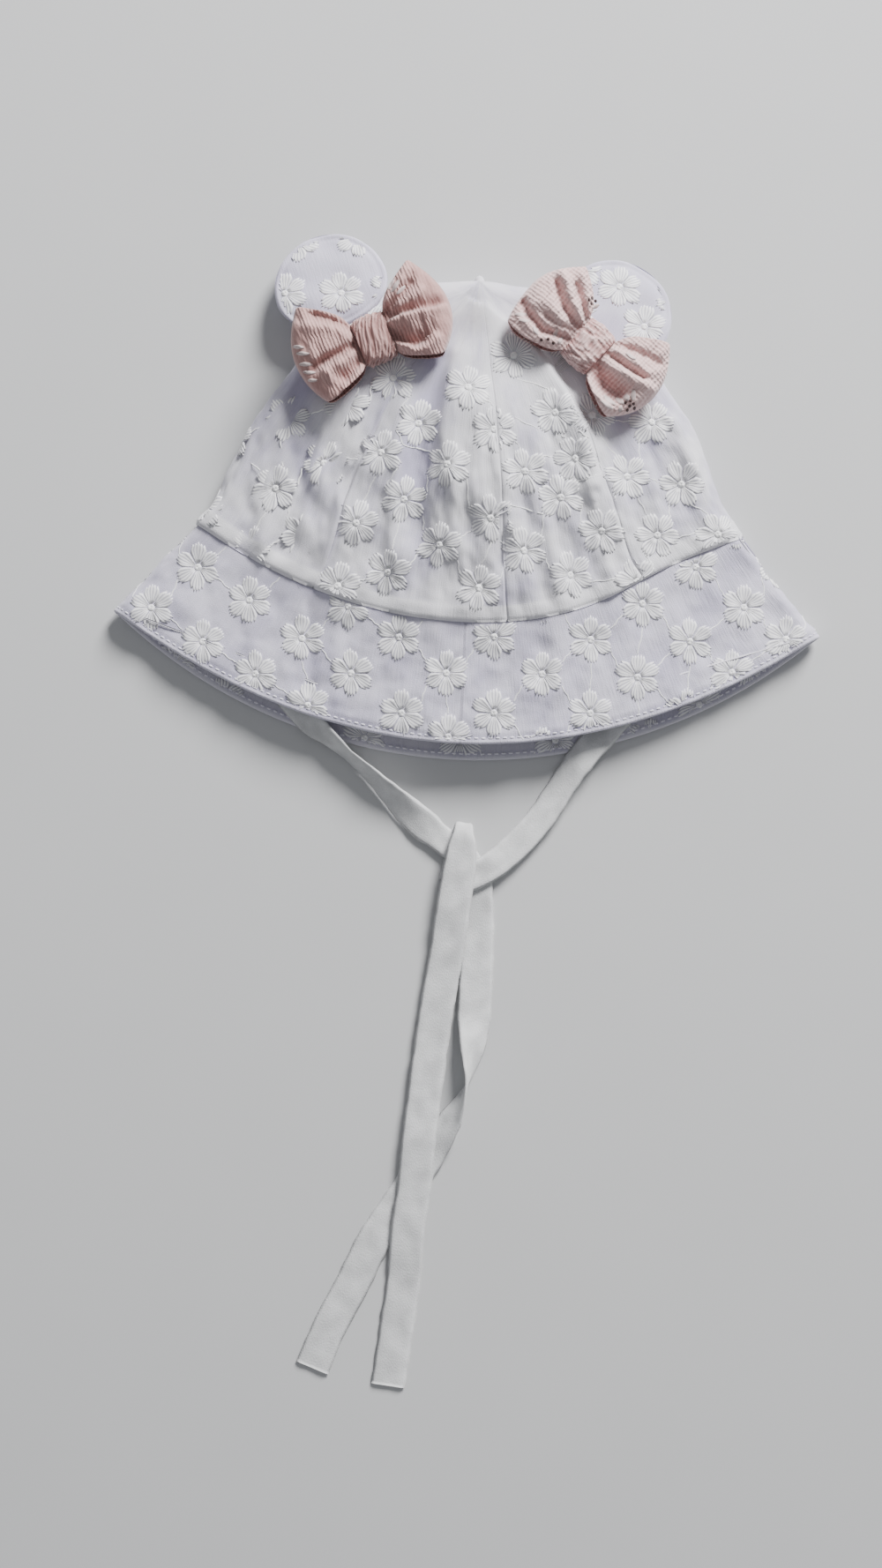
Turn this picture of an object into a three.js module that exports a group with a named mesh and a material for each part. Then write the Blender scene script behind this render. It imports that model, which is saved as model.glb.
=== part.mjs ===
// Baby sun bonnet with bear ears, two bows and chin ties, lying flat with its front up.
// Millimetres. +X runs across the bonnet, +Y towards the top of the crown, +Z up from the table at z = 0.

import * as THREE from "three";

// Crown, measured on the bonnet as it lies
const crownHalfWidth = 108.5; // at the brim seam
const crownSideDrop = 99; // from the top of the crown down to the ends of the brim seam
const crownFrontDrop = 135; // from the top of the crown down to the seam at the front centre
const crownEdge = 8; // half the height of the rounded fold round the crown
const crownRise = 14; // how far the front arches above the fold
const crownCloth = 1.2; // wall of a crown panel
const crownTop = 85.8; // from the middle of the bonnet up to the crown's top

// Brim, from the seam to its free edge
const brimFlare = 32.4; // how far each corner stands out past the crown
const brimSideDrop = 34.4;
const brimDepth = 47.2; // at the front centre
const brimBackDrop = 6.1; // how much lower the back edge lies than the front edge
const brimCornerRoom = 1.7; // radius left inside the fold at the brim's corners
const brimRise = 7; // how far the front edge arches above the folds
const brimCloth = 1; // each of the two layers
const seamLap = 4; // how far the crown's hem covers the brim

// Ears
const earRadius = 22.4;
const earBase = 17; // from the ear's middle to its sewn edge
const earPadding = 4.4; // thickness at the middle
const earHem = 1.2; // thickness at the rim
const earLean = 13; // degrees that the ears slope down to the table, away from the crown

// Bows
const bowLength = 64;
const bowWidth = 38.5;
const bowPuff = 8.5; // height of a lobe above the bow's middle
const bowSag = 3.6; // depth of a lobe below the bow's middle
const bowCloth = 1;
const knotLength = 12.6;
const knotWidth = 20;
const knotHeight = 12;
const knotCloth = 1.2;
const knotWaist = 0.09; // how much slimmer the knot is at its edges
const knotSquare = 0.72; // 1 is an oval knot, 0 a square one
const knotSlip = 2.6; // how far the knot and the bow's waist have slipped down between the lobes

// Chin ties
const tieWidth = 13.5;
const tieCloth = 1.2;

const clearance = 0.3; // between pieces that touch
const outerDepth = crownCloth + clearance; // the brim's outer layer lies this far inside the crown's face
const facingDepth = outerDepth + brimCloth + clearance;
const brimEdge = facingDepth + brimCloth + brimCornerRoom; // half the height of the brim's side folds
const foldStart = 78; // angle round the hat where the front or back turns into the side fold
const tipShare = 0.012; // where the panels stop short of the crown's top
const settleShare = 0.3; // share of the brim over which its back sinks to the table
const archPower = 1.5; // how soon the front's arch dies out towards the side folds
const foldFade = 3; // how fast the folds die out towards the side folds
const topFade = 6; // how fast the folds grow from the crown's top

// Sections of the crown from its top to the seam: shares of the crown's drops, half width, edge and rise
const crownSections = [
  { down: 0.0, width: 0.0, side: 0.0, centre: 0.0, round: 0.0, floor: 1.0, rise: 0.0 },
  { down: 0.02, width: 0.03, side: 0.001, centre: 0.004, round: 0.34, floor: 0.66, rise: 0.0 },
  { down: 0.05, width: 0.075, side: 0.004, centre: 0.022, round: 0.78, floor: 0.22, rise: 0.01 },
  { down: 0.09, width: 0.134, side: 0.011, centre: 0.061, round: 1.0, floor: 0.0, rise: 0.08 },
  { down: 0.18, width: 0.262, side: 0.036, centre: 0.158, round: 1.0, floor: 0.0, rise: 0.38 },
  { down: 0.3, width: 0.422, side: 0.109, centre: 0.287, round: 1.0, floor: 0.0, rise: 0.76 },
  { down: 0.44, width: 0.583, side: 0.238, centre: 0.43, round: 1.0, floor: 0.0, rise: 1.0 },
  { down: 0.58, width: 0.702, side: 0.419, centre: 0.572, round: 0.96, floor: 0.0, rise: 1.0 },
  { down: 0.72, width: 0.808, side: 0.609, centre: 0.714, round: 0.88, floor: 0.0, rise: 0.88 },
  { down: 0.84, width: 0.875, side: 0.788, centre: 0.838, round: 0.8, floor: 0.0, rise: 0.76 },
  { down: 0.93, width: 0.931, side: 0.916, centre: 0.93, round: 0.73, floor: 0.0, rise: 0.68 },
  { down: 1.0, width: 1.0, side: 1.0, centre: 1.0, round: 0.69, floor: 0.0, rise: 0.64 },
];

// Folds of the crown's front: a line from one place to another, in shares of the half width and front drop,
// with its bow sideways, and its height and reach as shares of the rise and half width
const crownFolds = [
  { name: "right ridge", from: 0.1, fromX: 0.08, to: 0.98, toX: 0.53, bend: 0.1, rise: 0.26, reach: 0.06 },
  { name: "left valley", from: 0.14, fromX: -0.05, to: 0.84, toX: -0.22, bend: -0.03, rise: -0.2, reach: 0.06 },
  { name: "raised middle", from: 0.2, fromX: 0.03, to: 0.9, toX: 0.05, bend: 0.0, rise: 0.14, reach: 0.13 },
  { name: "left crease", from: 0.34, fromX: -0.77, to: 0.72, toX: -0.57, bend: 0.02, rise: -0.16, reach: 0.06 },
  { name: "right hollow", from: 0.3, fromX: 0.55, to: 0.8, toX: 0.66, bend: 0.02, rise: -0.12, reach: 0.09 },
  { name: "left gather", from: 0.74, fromX: -0.42, to: 1.0, toX: -0.45, bend: 0.0, rise: 0.1, reach: 0.06 },
  { name: "middle gather", from: 0.78, fromX: -0.12, to: 1.0, toX: -0.12, bend: 0.0, rise: 0.08, reach: 0.05 },
  { name: "right gather", from: 0.76, fromX: 0.3, to: 1.0, toX: 0.32, bend: 0.0, rise: 0.08, reach: 0.05 },
];

// Waves of the brim's front, across its width: shares of the half width and of the brim's rise
const brimWaves = [
  { name: "left wave", at: -0.46, height: -0.13, reach: 0.09 },
  { name: "middle wave", at: -0.05, height: 0.1, reach: 0.16 },
  { name: "right wave", at: 0.42, height: -0.12, reach: 0.1 },
];

// Six panels between seams, by angle round the hat: 0 is the front centre, 90 the right side fold
const crownPanels = [
  { name: "crown_panel_front_left", from: -46, to: 12 },
  { name: "crown_panel_front_right", from: 12, to: 52 },
  { name: "crown_panel_side_right", from: 52, to: 128 },
  { name: "crown_panel_back_right", from: 128, to: 190 },
  { name: "crown_panel_back_left", from: 190, to: 250 },
  { name: "crown_panel_side_left", from: 250, to: 314 },
];
const panelDowns = [tipShare, 0.03, 0.055, 0.09, 0.16, 0.26, 0.38, 0.51, 0.64, 0.77, 0.88, 1];
const brimDowns = [1, 1.12, 1.38, 1.68, 2]; // 1 is the seam and 2 the free edge

// Ears and bows: places as shares of the crown's half width and front drop, turned about +Z in degrees
const ears = [
  { name: "ear_left", across: -0.533, down: 0.039, turn: 20 },
  { name: "ear_right", across: 0.492, down: 0.09, turn: -26 },
];
const bows = [
  { name: "bow_left", across: -0.376, down: 0.187, turn: 24, tilt: -4 },
  { name: "bow_right", across: 0.409, down: 0.188, turn: -40, tilt: 4 },
];

// One half of a bow from its knot outwards: shares of its half length, of the way from its waist to its full
// width, and of its puff or sag
const bowSections = [
  { out: 0.0, spread: 0.0, swell: 0.26, pleat: 0.0 },
  { out: 0.2, spread: 0.0, swell: 0.28, pleat: 0.1 },
  { out: 0.34, spread: 0.3, swell: 0.72, pleat: 1.0 },
  { out: 0.55, spread: 0.67, swell: 1.0, pleat: 0.8 },
  { out: 0.75, spread: 0.92, swell: 0.96, pleat: 0.5 },
  { out: 0.9, spread: 1.0, swell: 0.72, pleat: 0.3 },
  { out: 0.97, spread: 1.0, swell: 0.42, pleat: 0.2 },
  { out: 1.0, spread: 1.0, swell: 0.0, pleat: 0.0 },
];
const bowPleats = 2.5; // waves across the lobe
const pleatDepth = 0.2; // share of the swell
const openEdge = 0.3; // how much flatter a lobe is along its open sides
const lobeRound = 0.24; // how much shorter a lobe is at its corners than at its middle

// Routes of the two ties: centre line, direction of the width in plan, roll about the route, and the
// share of the full width where the strap is squeezed. Both start inside, beside the ends of the seam.
const leftRoute = [
  [-93.7, -28.8, 5.2, 24, 0, 0.9],
  [-88.2, -43.0, 4.6, 26, 0, 0.95],
  [-79.3, -61.3, 3.6, 30, 0, 1],
  [-70.2, -76.8, 4.0, 36, 8, 0.95],
  [-60.0, -89.5, 6.0, 47, 20, 0.82],
  [-52.9, -95.3, 7.1, 50, 46, 0.75],
  [-44.6, -102.2, 5.4, 46, 64, 0.75],
  [-35.6, -109.4, 5.4, 46, 58, 0.8],
  [-24.7, -119.3, 4.3, 47, 36, 0.9],
  [-15.2, -127.6, 3.0, 50, 12, 0.95],
  [-8.8, -132.4, 2.45, 53, 3, 0.84],
  [-3.4, -136.2, 2.4, 50, 0, 0.78],
  [4.1, -142.0, 2.4, 36, 0, 0.78],
  [8.2, -148.9, 2.4, 18, 0, 0.78],
  [9.2, -157.0, 1.6, 4, 0, 0.82],
  [9.3, -166.0, 0.9, 0, 0, 0.95],
  [9.3, -185.5, 0.9, 0, 0, 1],
  [9.1, -203.5, 2.0, 0, -8, 1],
  [8.9, -218.0, 4.3, -3, -36, 0.85],
  [7.2, -230.5, 4.8, -14, -84, 0.62],
  [1.8, -243.8, 3.5, -24, -148, 0.74],
  [-4.8, -256.7, 1.5, -30, -175, 0.88],
  [-13.6, -272.1, 0.9, -31, -180, 0.96],
  [-26.8, -293.6, 0.9, -29, -180, 1],
  [-34.8, -311.4, 0.9, -26, -180, 1],
  [-43.6, -329.6, 0.9, -24, -180, 1],
  [-49.6, -345.5, 0.9, -20, -180, 1],
];
const rightRoute = [
  [93.8, -25.1, 5.2, -28, 0, 0.9],
  [86.0, -41.5, 4.6, -29, 0, 0.95],
  [76.0, -58.8, 3.6, -31, 0, 1],
  [67.0, -73.5, 3.5, -34, 0, 1],
  [57.8, -86.4, 4.0, -37, 2, 0.95],
  [48.0, -99.3, 4.7, -35, 12, 0.86],
  [40.4, -111.2, 2.6, -33, 18, 0.84],
  [33.2, -123.3, 2.2, -35, 14, 0.84],
  [24.8, -133.8, 2.6, -42, 6, 0.86],
  [14.3, -143.6, 3.9, -52, 0, 0.84],
  [5.5, -148.8, 3.95, -58, 0, 0.8],
  [-1.2, -151.9, 3.8, -42, 0, 0.76],
  [-2.7, -152.6, 2.4, -35, 0, 0.74],
  [-2.0, -151.0, 1.05, -27, 0, 0.76],
  [-0.6, -145.6, 0.9, -10, 0, 0.8],
  [1.0, -138.5, 0.9, -5, 0, 0.76],
  [1.9, -131.0, 1.0, -4, 0, 0.6],
  [2.2, -127.6, 3.2, -4, 0, 0.5],
  [2.1, -130.8, 5.3, -4, 0, 0.62],
  [1.8, -137.0, 5.5, -4, 0, 0.86],
  [1.1, -145.0, 5.5, -5, 0, 0.96],
  [-0.5, -157.7, 5.3, -7, 0, 1],
  [-2.6, -177.0, 3.6, -7, 0, 1],
  [-6.1, -203.4, 2.7, -7, 0, 1],
  [-9.6, -238.5, 3.2, -5, 0, 1],
  [-11.1, -256.0, 3.6, -4, 0, 1],
  [-11.9, -271.8, 3.2, -6, 0, 1],
  [-13.7, -286.9, 2.9, -6, 0, 1],
  [-14.2, -297.5, 2.5, -5, 0, 1],
  [-14.7, -308.9, 1.4, -5, 0, 1],
  [-17.0, -330.3, 0.9, -7, 0, 1],
  [-19.3, -351.4, 0.9, -8, 0, 1],
];

// Longest stretches between two lines of the faceted solids
const frontStep = 8.4;
const foldStep = 2.2;
const backStep = 21.8;
const earStep = 5;
const bowStep = 5;
const knotStep = 3.2;
const settleStep = 2; // between the places where a piece is tried on what carries it
const tieStep = 8;

const radians = Math.PI / 180;

// Monotone cubic through a table's rows
function readTable(rows, key, name, at) {
  const last = rows.length - 1;
  const x = Math.min(Math.max(at, rows[0][key]), rows[last][key]);
  let i = 0;
  while (i < last - 1 && x > rows[i + 1][key]) i += 1;
  const slope = (k) => (rows[k + 1][name] - rows[k][name]) / (rows[k + 1][key] - rows[k][key]);
  const tangent = (k) => {
    if (k === 0) return slope(0);
    if (k === last) return slope(last - 1);
    const before = slope(k - 1);
    const after = slope(k);
    return before * after <= 0 ? 0 : (2 * before * after) / (before + after);
  };
  const span = rows[i + 1][key] - rows[i][key];
  const t = (x - rows[i][key]) / span;
  const t2 = t * t;
  const t3 = t2 * t;
  return (
    (2 * t3 - 3 * t2 + 1) * rows[i][name] +
    (t3 - 2 * t2 + t) * span * tangent(i) +
    (3 * t2 - 2 * t3) * rows[i + 1][name] +
    (t3 - t2) * span * tangent(i + 1)
  );
}

// Sizes of the hat's closed section at a share of the way down: 0 the top, 1 the seam, 2 the brim's edge
function sectionAt(down) {
  const seamRound = crownSections[crownSections.length - 1].round * crownEdge;
  const seamRise = crownSections[crownSections.length - 1].rise * crownRise;
  if (down <= 1) {
    const read = (name) => readTable(crownSections, "down", name, down);
    return {
      width: read("width") * crownHalfWidth,
      side: read("side") * crownSideDrop,
      centre: read("centre") * crownFrontDrop,
      round: read("round") * crownEdge,
      floor: read("floor") * crownEdge,
      rise: read("rise") * crownRise,
      back: 0,
      wave: 0,
    };
  }
  const out = down - 1;
  const settle = Math.min(out / settleShare, 1);
  return {
    width: crownHalfWidth + brimFlare * out,
    side: crownSideDrop + brimSideDrop * out,
    centre: crownFrontDrop + brimDepth * out,
    round: seamRound + (brimEdge - seamRound) * out,
    floor: -outerDepth * settle * settle * (3 - 2 * settle),
    rise: seamRise + (brimRise - seamRise) * out,
    back: brimBackDrop * out,
    wave: brimRise * out,
  };
}

// Height that the folds and waves add to the front at a place across the hat
function foldHeight(share, down, wave) {
  let height = 0;
  if (down <= 1) {
    for (const fold of crownFolds) {
      const t = (down - fold.from) / (fold.to - fold.from);
      if (t <= 0) continue;
      const along = Math.min(t, 1);
      const line = fold.fromX + (fold.toX - fold.fromX) * along + fold.bend * 4 * along * (1 - along);
      const distance = (share - line) / fold.reach;
      const ends = fold.to === 1 ? Math.sin(along * Math.PI * 0.5) : Math.sin(along * Math.PI);
      height += crownRise * fold.rise * Math.max(ends, 0) * Math.exp(-distance * distance);
    }
  } else {
    for (const fold of crownFolds.filter((entry) => entry.to === 1)) {
      const distance = (share - fold.toX) / fold.reach;
      height += crownRise * fold.rise * (2 - down) * Math.exp(-distance * distance);
    }
    for (const row of brimWaves) {
      const distance = (share - row.at) / row.reach;
      height += wave * row.height * Math.exp(-distance * distance);
    }
  }
  return height;
}

// A point of the hat's base surface, by angle round the hat in degrees and share of the way down
function hatPoint(angle, down) {
  const section = sectionAt(down);
  const turned = ((((angle + 180) % 360) + 360) % 360) - 180;
  const front = Math.abs(turned) <= 90;
  const fromCentre = front ? Math.abs(turned) : 180 - Math.abs(turned);
  const flat = Math.max(section.width - section.round, 0);
  const middle = section.floor + section.round;
  let x;
  let z;
  if (fromCentre <= foldStart) {
    const share = fromCentre / foldStart;
    x = flat * share;
    const arch = Math.pow(1 - share * share, archPower);
    const plan = (Math.sign(turned) * x) / crownHalfWidth;
    const fade = Math.min(1, foldFade * (1 - share)) * Math.min(1, topFade * down);
    const folds = foldHeight(plan, down, section.wave) * fade;
    z = front ? middle + section.round + section.rise * arch + folds : section.floor;
  } else {
    const bend = ((fromCentre - foldStart) / (90 - foldStart)) * 90 * radians;
    x = flat + section.round * Math.sin(bend);
    z = middle + (front ? 1 : -1) * section.round * Math.cos(bend);
  }
  const share = section.width > 0 ? x / section.width : 0;
  const smile = (section.centre - section.side) * (1 - share * share);
  const back = front ? 0 : section.back * (1 - Math.pow(share, 5));
  return new THREE.Vector3(Math.sign(turned) * x, crownTop - section.side - smile - back, z);
}

// The same point moved inwards, square to the cloth
function clothPoint(angle, down, depth) {
  const step = 0.004;
  const low = Math.max(down - step, tipShare / 2);
  const high = Math.min(down + step, 2);
  const round = hatPoint(angle + 1, down).sub(hatPoint(angle - 1, down));
  const along = hatPoint(angle, high).sub(hatPoint(angle, low));
  const normal = round.cross(along).normalize();
  return hatPoint(angle, down).addScaledVector(normal, depth);
}

// A closed shell between an outer and an inner grid of points
function shell(rows, columns, outerAt, innerAt, closed) {
  const points = [];
  for (const at of [outerAt, innerAt]) {
    for (let i = 0; i < rows; i += 1) {
      for (let j = 0; j < columns; j += 1) points.push(at(i, j));
    }
  }
  const outer = (i, j) => i * columns + (j % columns);
  const inner = (i, j) => rows * columns + outer(i, j);
  const faces = [];
  const quad = (a, b, c, d) => faces.push([a, b, c], [a, c, d]);
  const spans = closed ? columns : columns - 1;
  for (let i = 0; i < rows - 1; i += 1) {
    for (let j = 0; j < spans; j += 1) {
      quad(outer(i, j), outer(i + 1, j), outer(i + 1, j + 1), outer(i, j + 1));
      quad(inner(i, j), inner(i, j + 1), inner(i + 1, j + 1), inner(i + 1, j));
    }
  }
  for (let j = 0; j < spans; j += 1) {
    quad(outer(0, j), outer(0, j + 1), inner(0, j + 1), inner(0, j));
    quad(outer(rows - 1, j + 1), outer(rows - 1, j), inner(rows - 1, j), inner(rows - 1, j + 1));
  }
  if (!closed) {
    const end = columns - 1;
    for (let i = 0; i < rows - 1; i += 1) {
      quad(outer(i + 1, 0), outer(i, 0), inner(i, 0), inner(i + 1, 0));
      quad(outer(i, end), outer(i + 1, end), inner(i + 1, end), inner(i, end));
    }
  }
  let volume = 0;
  for (const [a, b, c] of faces) volume += points[a].dot(points[b].clone().cross(points[c]));
  const geometry = new THREE.BufferGeometry();
  const numbers = points.flatMap((point) => point.toArray());
  geometry.setAttribute("position", new THREE.Float32BufferAttribute(numbers, 3));
  geometry.setIndex(faces.flatMap(([a, b, c]) => (volume > 0 ? [a, b, c] : [a, c, b])));
  geometry.computeVertexNormals();
  return geometry;
}

// Angles round the hat: close together on the humped front and the side folds, wider on the flat back
function hatAngles() {
  const angles = [];
  const frontSpans = Math.ceil((2 * crownHalfWidth) / frontStep);
  const foldSpans = Math.ceil((Math.PI * crownEdge) / 2 / foldStep);
  const backSpans = Math.ceil((2 * crownHalfWidth) / backStep);
  for (let i = 0; i < frontSpans; i += 1) angles.push(-foldStart + (2 * foldStart * i) / frontSpans);
  for (let i = 0; i < foldSpans; i += 1) angles.push(foldStart + (2 * (90 - foldStart) * i) / foldSpans);
  const backStart = 180 - foldStart;
  for (let i = 0; i < backSpans; i += 1) angles.push(backStart + (2 * foldStart * i) / backSpans);
  const leftStart = 180 + foldStart;
  for (let i = 0; i < foldSpans; i += 1) angles.push(leftStart + (2 * (90 - foldStart) * i) / foldSpans);
  return angles;
}

const cloth = {
  crown: new THREE.MeshStandardMaterial({ color: 0xe9e7f0, roughness: 0.9, metalness: 0 }),
  brim: new THREE.MeshStandardMaterial({ color: 0xdcd9ec, roughness: 0.9, metalness: 0 }),
  facing: new THREE.MeshStandardMaterial({ color: 0xe4e3ee, roughness: 0.9, metalness: 0 }),
  ear: new THREE.MeshStandardMaterial({ color: 0xe4e1f2, roughness: 0.9, metalness: 0 }),
  bow: new THREE.MeshStandardMaterial({ color: 0xd9b0aa, roughness: 0.85, metalness: 0 }),
  knot: new THREE.MeshStandardMaterial({ color: 0xd6aaa4, roughness: 0.85, metalness: 0 }),
  tie: new THREE.MeshStandardMaterial({ color: 0xeeeeec, roughness: 0.9, metalness: 0 }),
};

function named(name, geometry, material) {
  const mesh = new THREE.Mesh(geometry, material.clone());
  mesh.name = name;
  return mesh;
}

function crownPanel(panel) {
  const seamGap = clearance / 2;
  const stops = [];
  for (const angle of hatAngles()) {
    for (const turn of [angle, angle + 360]) {
      if (turn > panel.from + 2.5 && turn < panel.to - 2.5) stops.push(turn);
    }
  }
  stops.sort((a, b) => a - b);
  const columns = stops.length + 2;
  const edgeAngle = (seam, inwards, down) => {
    const perDegree = hatPoint(seam + 1, down).distanceTo(hatPoint(seam - 1, down)) / 2;
    return seam + (inwards * seamGap) / perDegree;
  };
  const angleAt = (i, j) => {
    const first = edgeAngle(panel.from, 1, panelDowns[i]);
    const last = edgeAngle(panel.to, -1, panelDowns[i]);
    if (j === 0) return first;
    if (j === columns - 1) return last;
    return Math.min(Math.max(stops[j - 1], first + 1), last - 1);
  };
  const wall = (depth) => (i, j) => clothPoint(angleAt(i, j), panelDowns[i], depth);
  const solid = shell(panelDowns.length, columns, wall(0), wall(crownCloth), false);
  return named(panel.name, solid, cloth.crown);
}

function brimLayer(name, depth, material) {
  const lapShare = 1 - seamLap / (crownFrontDrop + crownRise);
  const downs = [lapShare, ...brimDowns];
  const angles = hatAngles();
  const wall = (inset) => (i, j) => clothPoint(angles[j], downs[i], inset);
  const solid = shell(downs.length, angles.length, wall(depth), wall(depth + brimCloth), true);
  return named(name, solid, material);
}

// A padded disc with a stitched rim, flatter on the side where it is sewn to the crown
function ear(row) {
  const spans = Math.ceil((2 * earRadius) / earStep);
  const face = (side) => (i, j) => {
    const u = (2 * i) / spans - 1;
    const v = (2 * j) / spans - 1;
    const x = u * Math.sqrt(1 - (v * v) / 2);
    const y = v * Math.sqrt(1 - (u * u) / 2);
    const reach = Math.min(x * x + y * y, 1);
    const height = (earHem + (earPadding - earHem) * Math.sqrt(1 - reach)) / 2;
    return new THREE.Vector3(x * earRadius, y * (y < 0 ? earBase : earRadius), side * height);
  };
  const mesh = named(row.name, shell(spans + 1, spans + 1, face(1), face(-1), false), cloth.ear);
  mesh.rotation.set(-earLean * radians, 0, row.turn * radians, "ZXY");
  mesh.position.set(row.across * crownHalfWidth, crownTop - row.down * crownFrontDrop, 0);
  return mesh;
}

// The bow's loop of cloth: stations run out over the top of both lobes and back underneath
function bowBand(row) {
  const outs = [-1, -0.97, -0.9, -0.75, -0.55, -0.34, -0.2, 0.2, 0.34, 0.55, 0.75, 0.9, 0.97, 1];
  const loop = [];
  outs.forEach((out) => loop.push({ out, side: 1 }));
  outs.slice(1, -1).reverse().forEach((out) => loop.push({ out, side: -1 }));
  const acrossSpans = Math.ceil(bowWidth / bowStep);
  const half = bowLength / 2;
  const waist = knotWidth / 2 - knotCloth - 2 * clearance;
  const spreadShare = (out) => readTable(bowSections, "out", "spread", out);
  const place = (stop, q) => {
    const out = Math.abs(stop.out);
    const swell = readTable(bowSections, "out", "swell", out) * (stop.side > 0 ? bowPuff : bowSag);
    const pleat = readTable(bowSections, "out", "pleat", out) * pleatDepth;
    const waves = stop.side > 0 ? 1 - pleat * (1 - Math.cos(q * Math.PI * bowPleats)) : 1;
    const edges = 1 - openEdge * q * q * (stop.side > 0 ? 1 : 0);
    const rounded = 1 - lobeRound * q * q * out * out;
    return new THREE.Vector2(stop.out * half * rounded, stop.side * swell * waves * edges);
  };
  const point = (depth) => (i, j) => {
    const q = (2 * i) / acrossSpans - 1;
    const stop = loop[j];
    const here = place(stop, q);
    const before = place(loop[(j + loop.length - 1) % loop.length], q);
    const after = place(loop[(j + 1) % loop.length], q);
    const along = after.sub(before).normalize();
    const share = spreadShare(Math.abs(stop.out));
    const across = q * (waist + (bowWidth / 2 - waist) * share) - knotSlip * (1 - share);
    return new THREE.Vector3(here.x + along.y * depth, across, here.y - along.x * depth);
  };
  return shell(acrossSpans + 1, loop.length, point(0), point(bowCloth), true);
}

// The gathered band round the bow's middle
function bowKnot() {
  const round = Math.ceil((Math.PI * (knotWidth + knotHeight)) / 2 / knotStep);
  const stations = [-1, -0.55, 0, 0.55, 1];
  const point = (depth) => (i, j) => {
    const turn = (2 * Math.PI * j) / round;
    const bulge = depth > 0 ? 1 : 1 - knotWaist * stations[i] * stations[i];
    const soft = (value) => Math.sign(value) * Math.pow(Math.abs(value), knotSquare);
    const b = soft(Math.cos(turn)) * (knotWidth / 2) * bulge;
    const c = soft(Math.sin(turn)) * (knotHeight / 2) * bulge;
    const shrinkB = 1 - depth / (knotWidth / 2);
    const shrinkC = 1 - depth / (knotHeight / 2);
    return new THREE.Vector3((stations[i] * knotLength) / 2, b * shrinkB - knotSlip, c * shrinkC);
  };
  return shell(stations.length, round, point(0), point(knotCloth), true);
}

// Lifts a group of meshes until it lies just clear of what carries it, wherever they meet in plan
function settle(pieces, carriers) {
  const ray = new THREE.Raycaster();
  const up = new THREE.Vector3(0, 0, 1);
  const down = new THREE.Vector3(0, 0, -1);
  const high = 200;
  [...pieces, ...carriers].forEach((mesh) => mesh.updateMatrixWorld(true));
  const box = new THREE.Box3();
  pieces.forEach((mesh) => box.expandByObject(mesh));
  const places = [];
  for (let x = box.min.x; x <= box.max.x; x += settleStep) {
    for (let y = box.min.y; y <= box.max.y; y += settleStep) places.push([x, y]);
  }
  for (const mesh of pieces) {
    const corners = mesh.geometry.attributes.position;
    for (let k = 0; k < corners.count; k += 1) {
      const corner = new THREE.Vector3().fromBufferAttribute(corners, k).applyMatrix4(mesh.matrixWorld);
      places.push([corner.x, corner.y]);
    }
  }
  let lift = -Infinity;
  for (const [x, y] of places) {
    ray.set(new THREE.Vector3(x, y, -high), up);
    const under = ray.intersectObjects(pieces, false)[0];
    ray.set(new THREE.Vector3(x, y, high), down);
    const over = ray.intersectObjects(carriers, false)[0];
    if (under && over) lift = Math.max(lift, over.point.z - under.point.z);
  }
  pieces.forEach((mesh) => {
    mesh.position.z += lift + clearance;
    mesh.updateMatrixWorld(true);
  });
}

// A flat strap along a route
function tie(name, route) {
  const centres = new THREE.CatmullRomCurve3(
    route.map(([x, y, z]) => new THREE.Vector3(x, y, z)),
    false,
    "centripetal",
  );
  const stations = [];
  for (let k = 0; k < route.length - 1; k += 1) {
    const [x, y, z] = route[k];
    const [nextX, nextY, nextZ] = route[k + 1];
    const steps = Math.ceil(Math.hypot(nextX - x, nextY - y, nextZ - z) / tieStep);
    for (let s = 0; s < steps; s += 1) stations.push(k + s / steps);
  }
  stations.push(route.length - 1);
  const mix = (column, station) => {
    const k = Math.min(Math.floor(station), route.length - 2);
    const t = station - k;
    return route[k][column] * (1 - t) + route[k + 1][column] * t;
  };
  const point = (side) => (i, j) => {
    const t = stations[i] / (route.length - 1);
    const tangent = centres.getTangent(t);
    const heading = mix(3, stations[i]) * radians;
    const across = new THREE.Vector3(Math.cos(heading), Math.sin(heading), 0);
    across.addScaledVector(tangent, -across.dot(tangent)).normalize();
    across.applyAxisAngle(tangent, mix(4, stations[i]) * radians);
    const upward = tangent.clone().cross(across).normalize();
    return centres
      .getPoint(t)
      .addScaledVector(across, ((j === 0 ? -1 : 1) * tieWidth * mix(5, stations[i])) / 2)
      .addScaledVector(upward, (side * tieCloth) / 2);
  };
  return named(name, shell(stations.length, 2, point(1), point(-1), false), cloth.tie);
}

const group = new THREE.Group();
const panels = crownPanels.map(crownPanel);
const brimOuter = brimLayer("brim_outer", outerDepth, cloth.brim);
const brimFacing = brimLayer("brim_facing", facingDepth, cloth.facing);
group.add(...panels, brimOuter, brimFacing);

const earMeshes = ears.map((row) => {
  const mesh = ear(row);
  settle([mesh], panels);
  return mesh;
});
group.add(...earMeshes);

for (const row of bows) {
  const band = named(row.name, bowBand(row), cloth.bow);
  const knot = named(`${row.name}_knot`, bowKnot(), cloth.knot);
  for (const mesh of [band, knot]) {
    mesh.rotation.set(0, row.tilt * radians, row.turn * radians, "ZYX");
    mesh.position.set(row.across * crownHalfWidth, crownTop - row.down * crownFrontDrop, 0);
  }
  settle([band, knot], [...panels, ...earMeshes]);
  group.add(band, knot);
}

group.add(tie("tie_left", leftRoute), tie("tie_right", rightRoute));

export default group;
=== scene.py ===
"""Baby sun bonnet of embroidered cotton, lying flat with its front up: crown, brim, ears, bows and chin ties."""

import math

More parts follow.
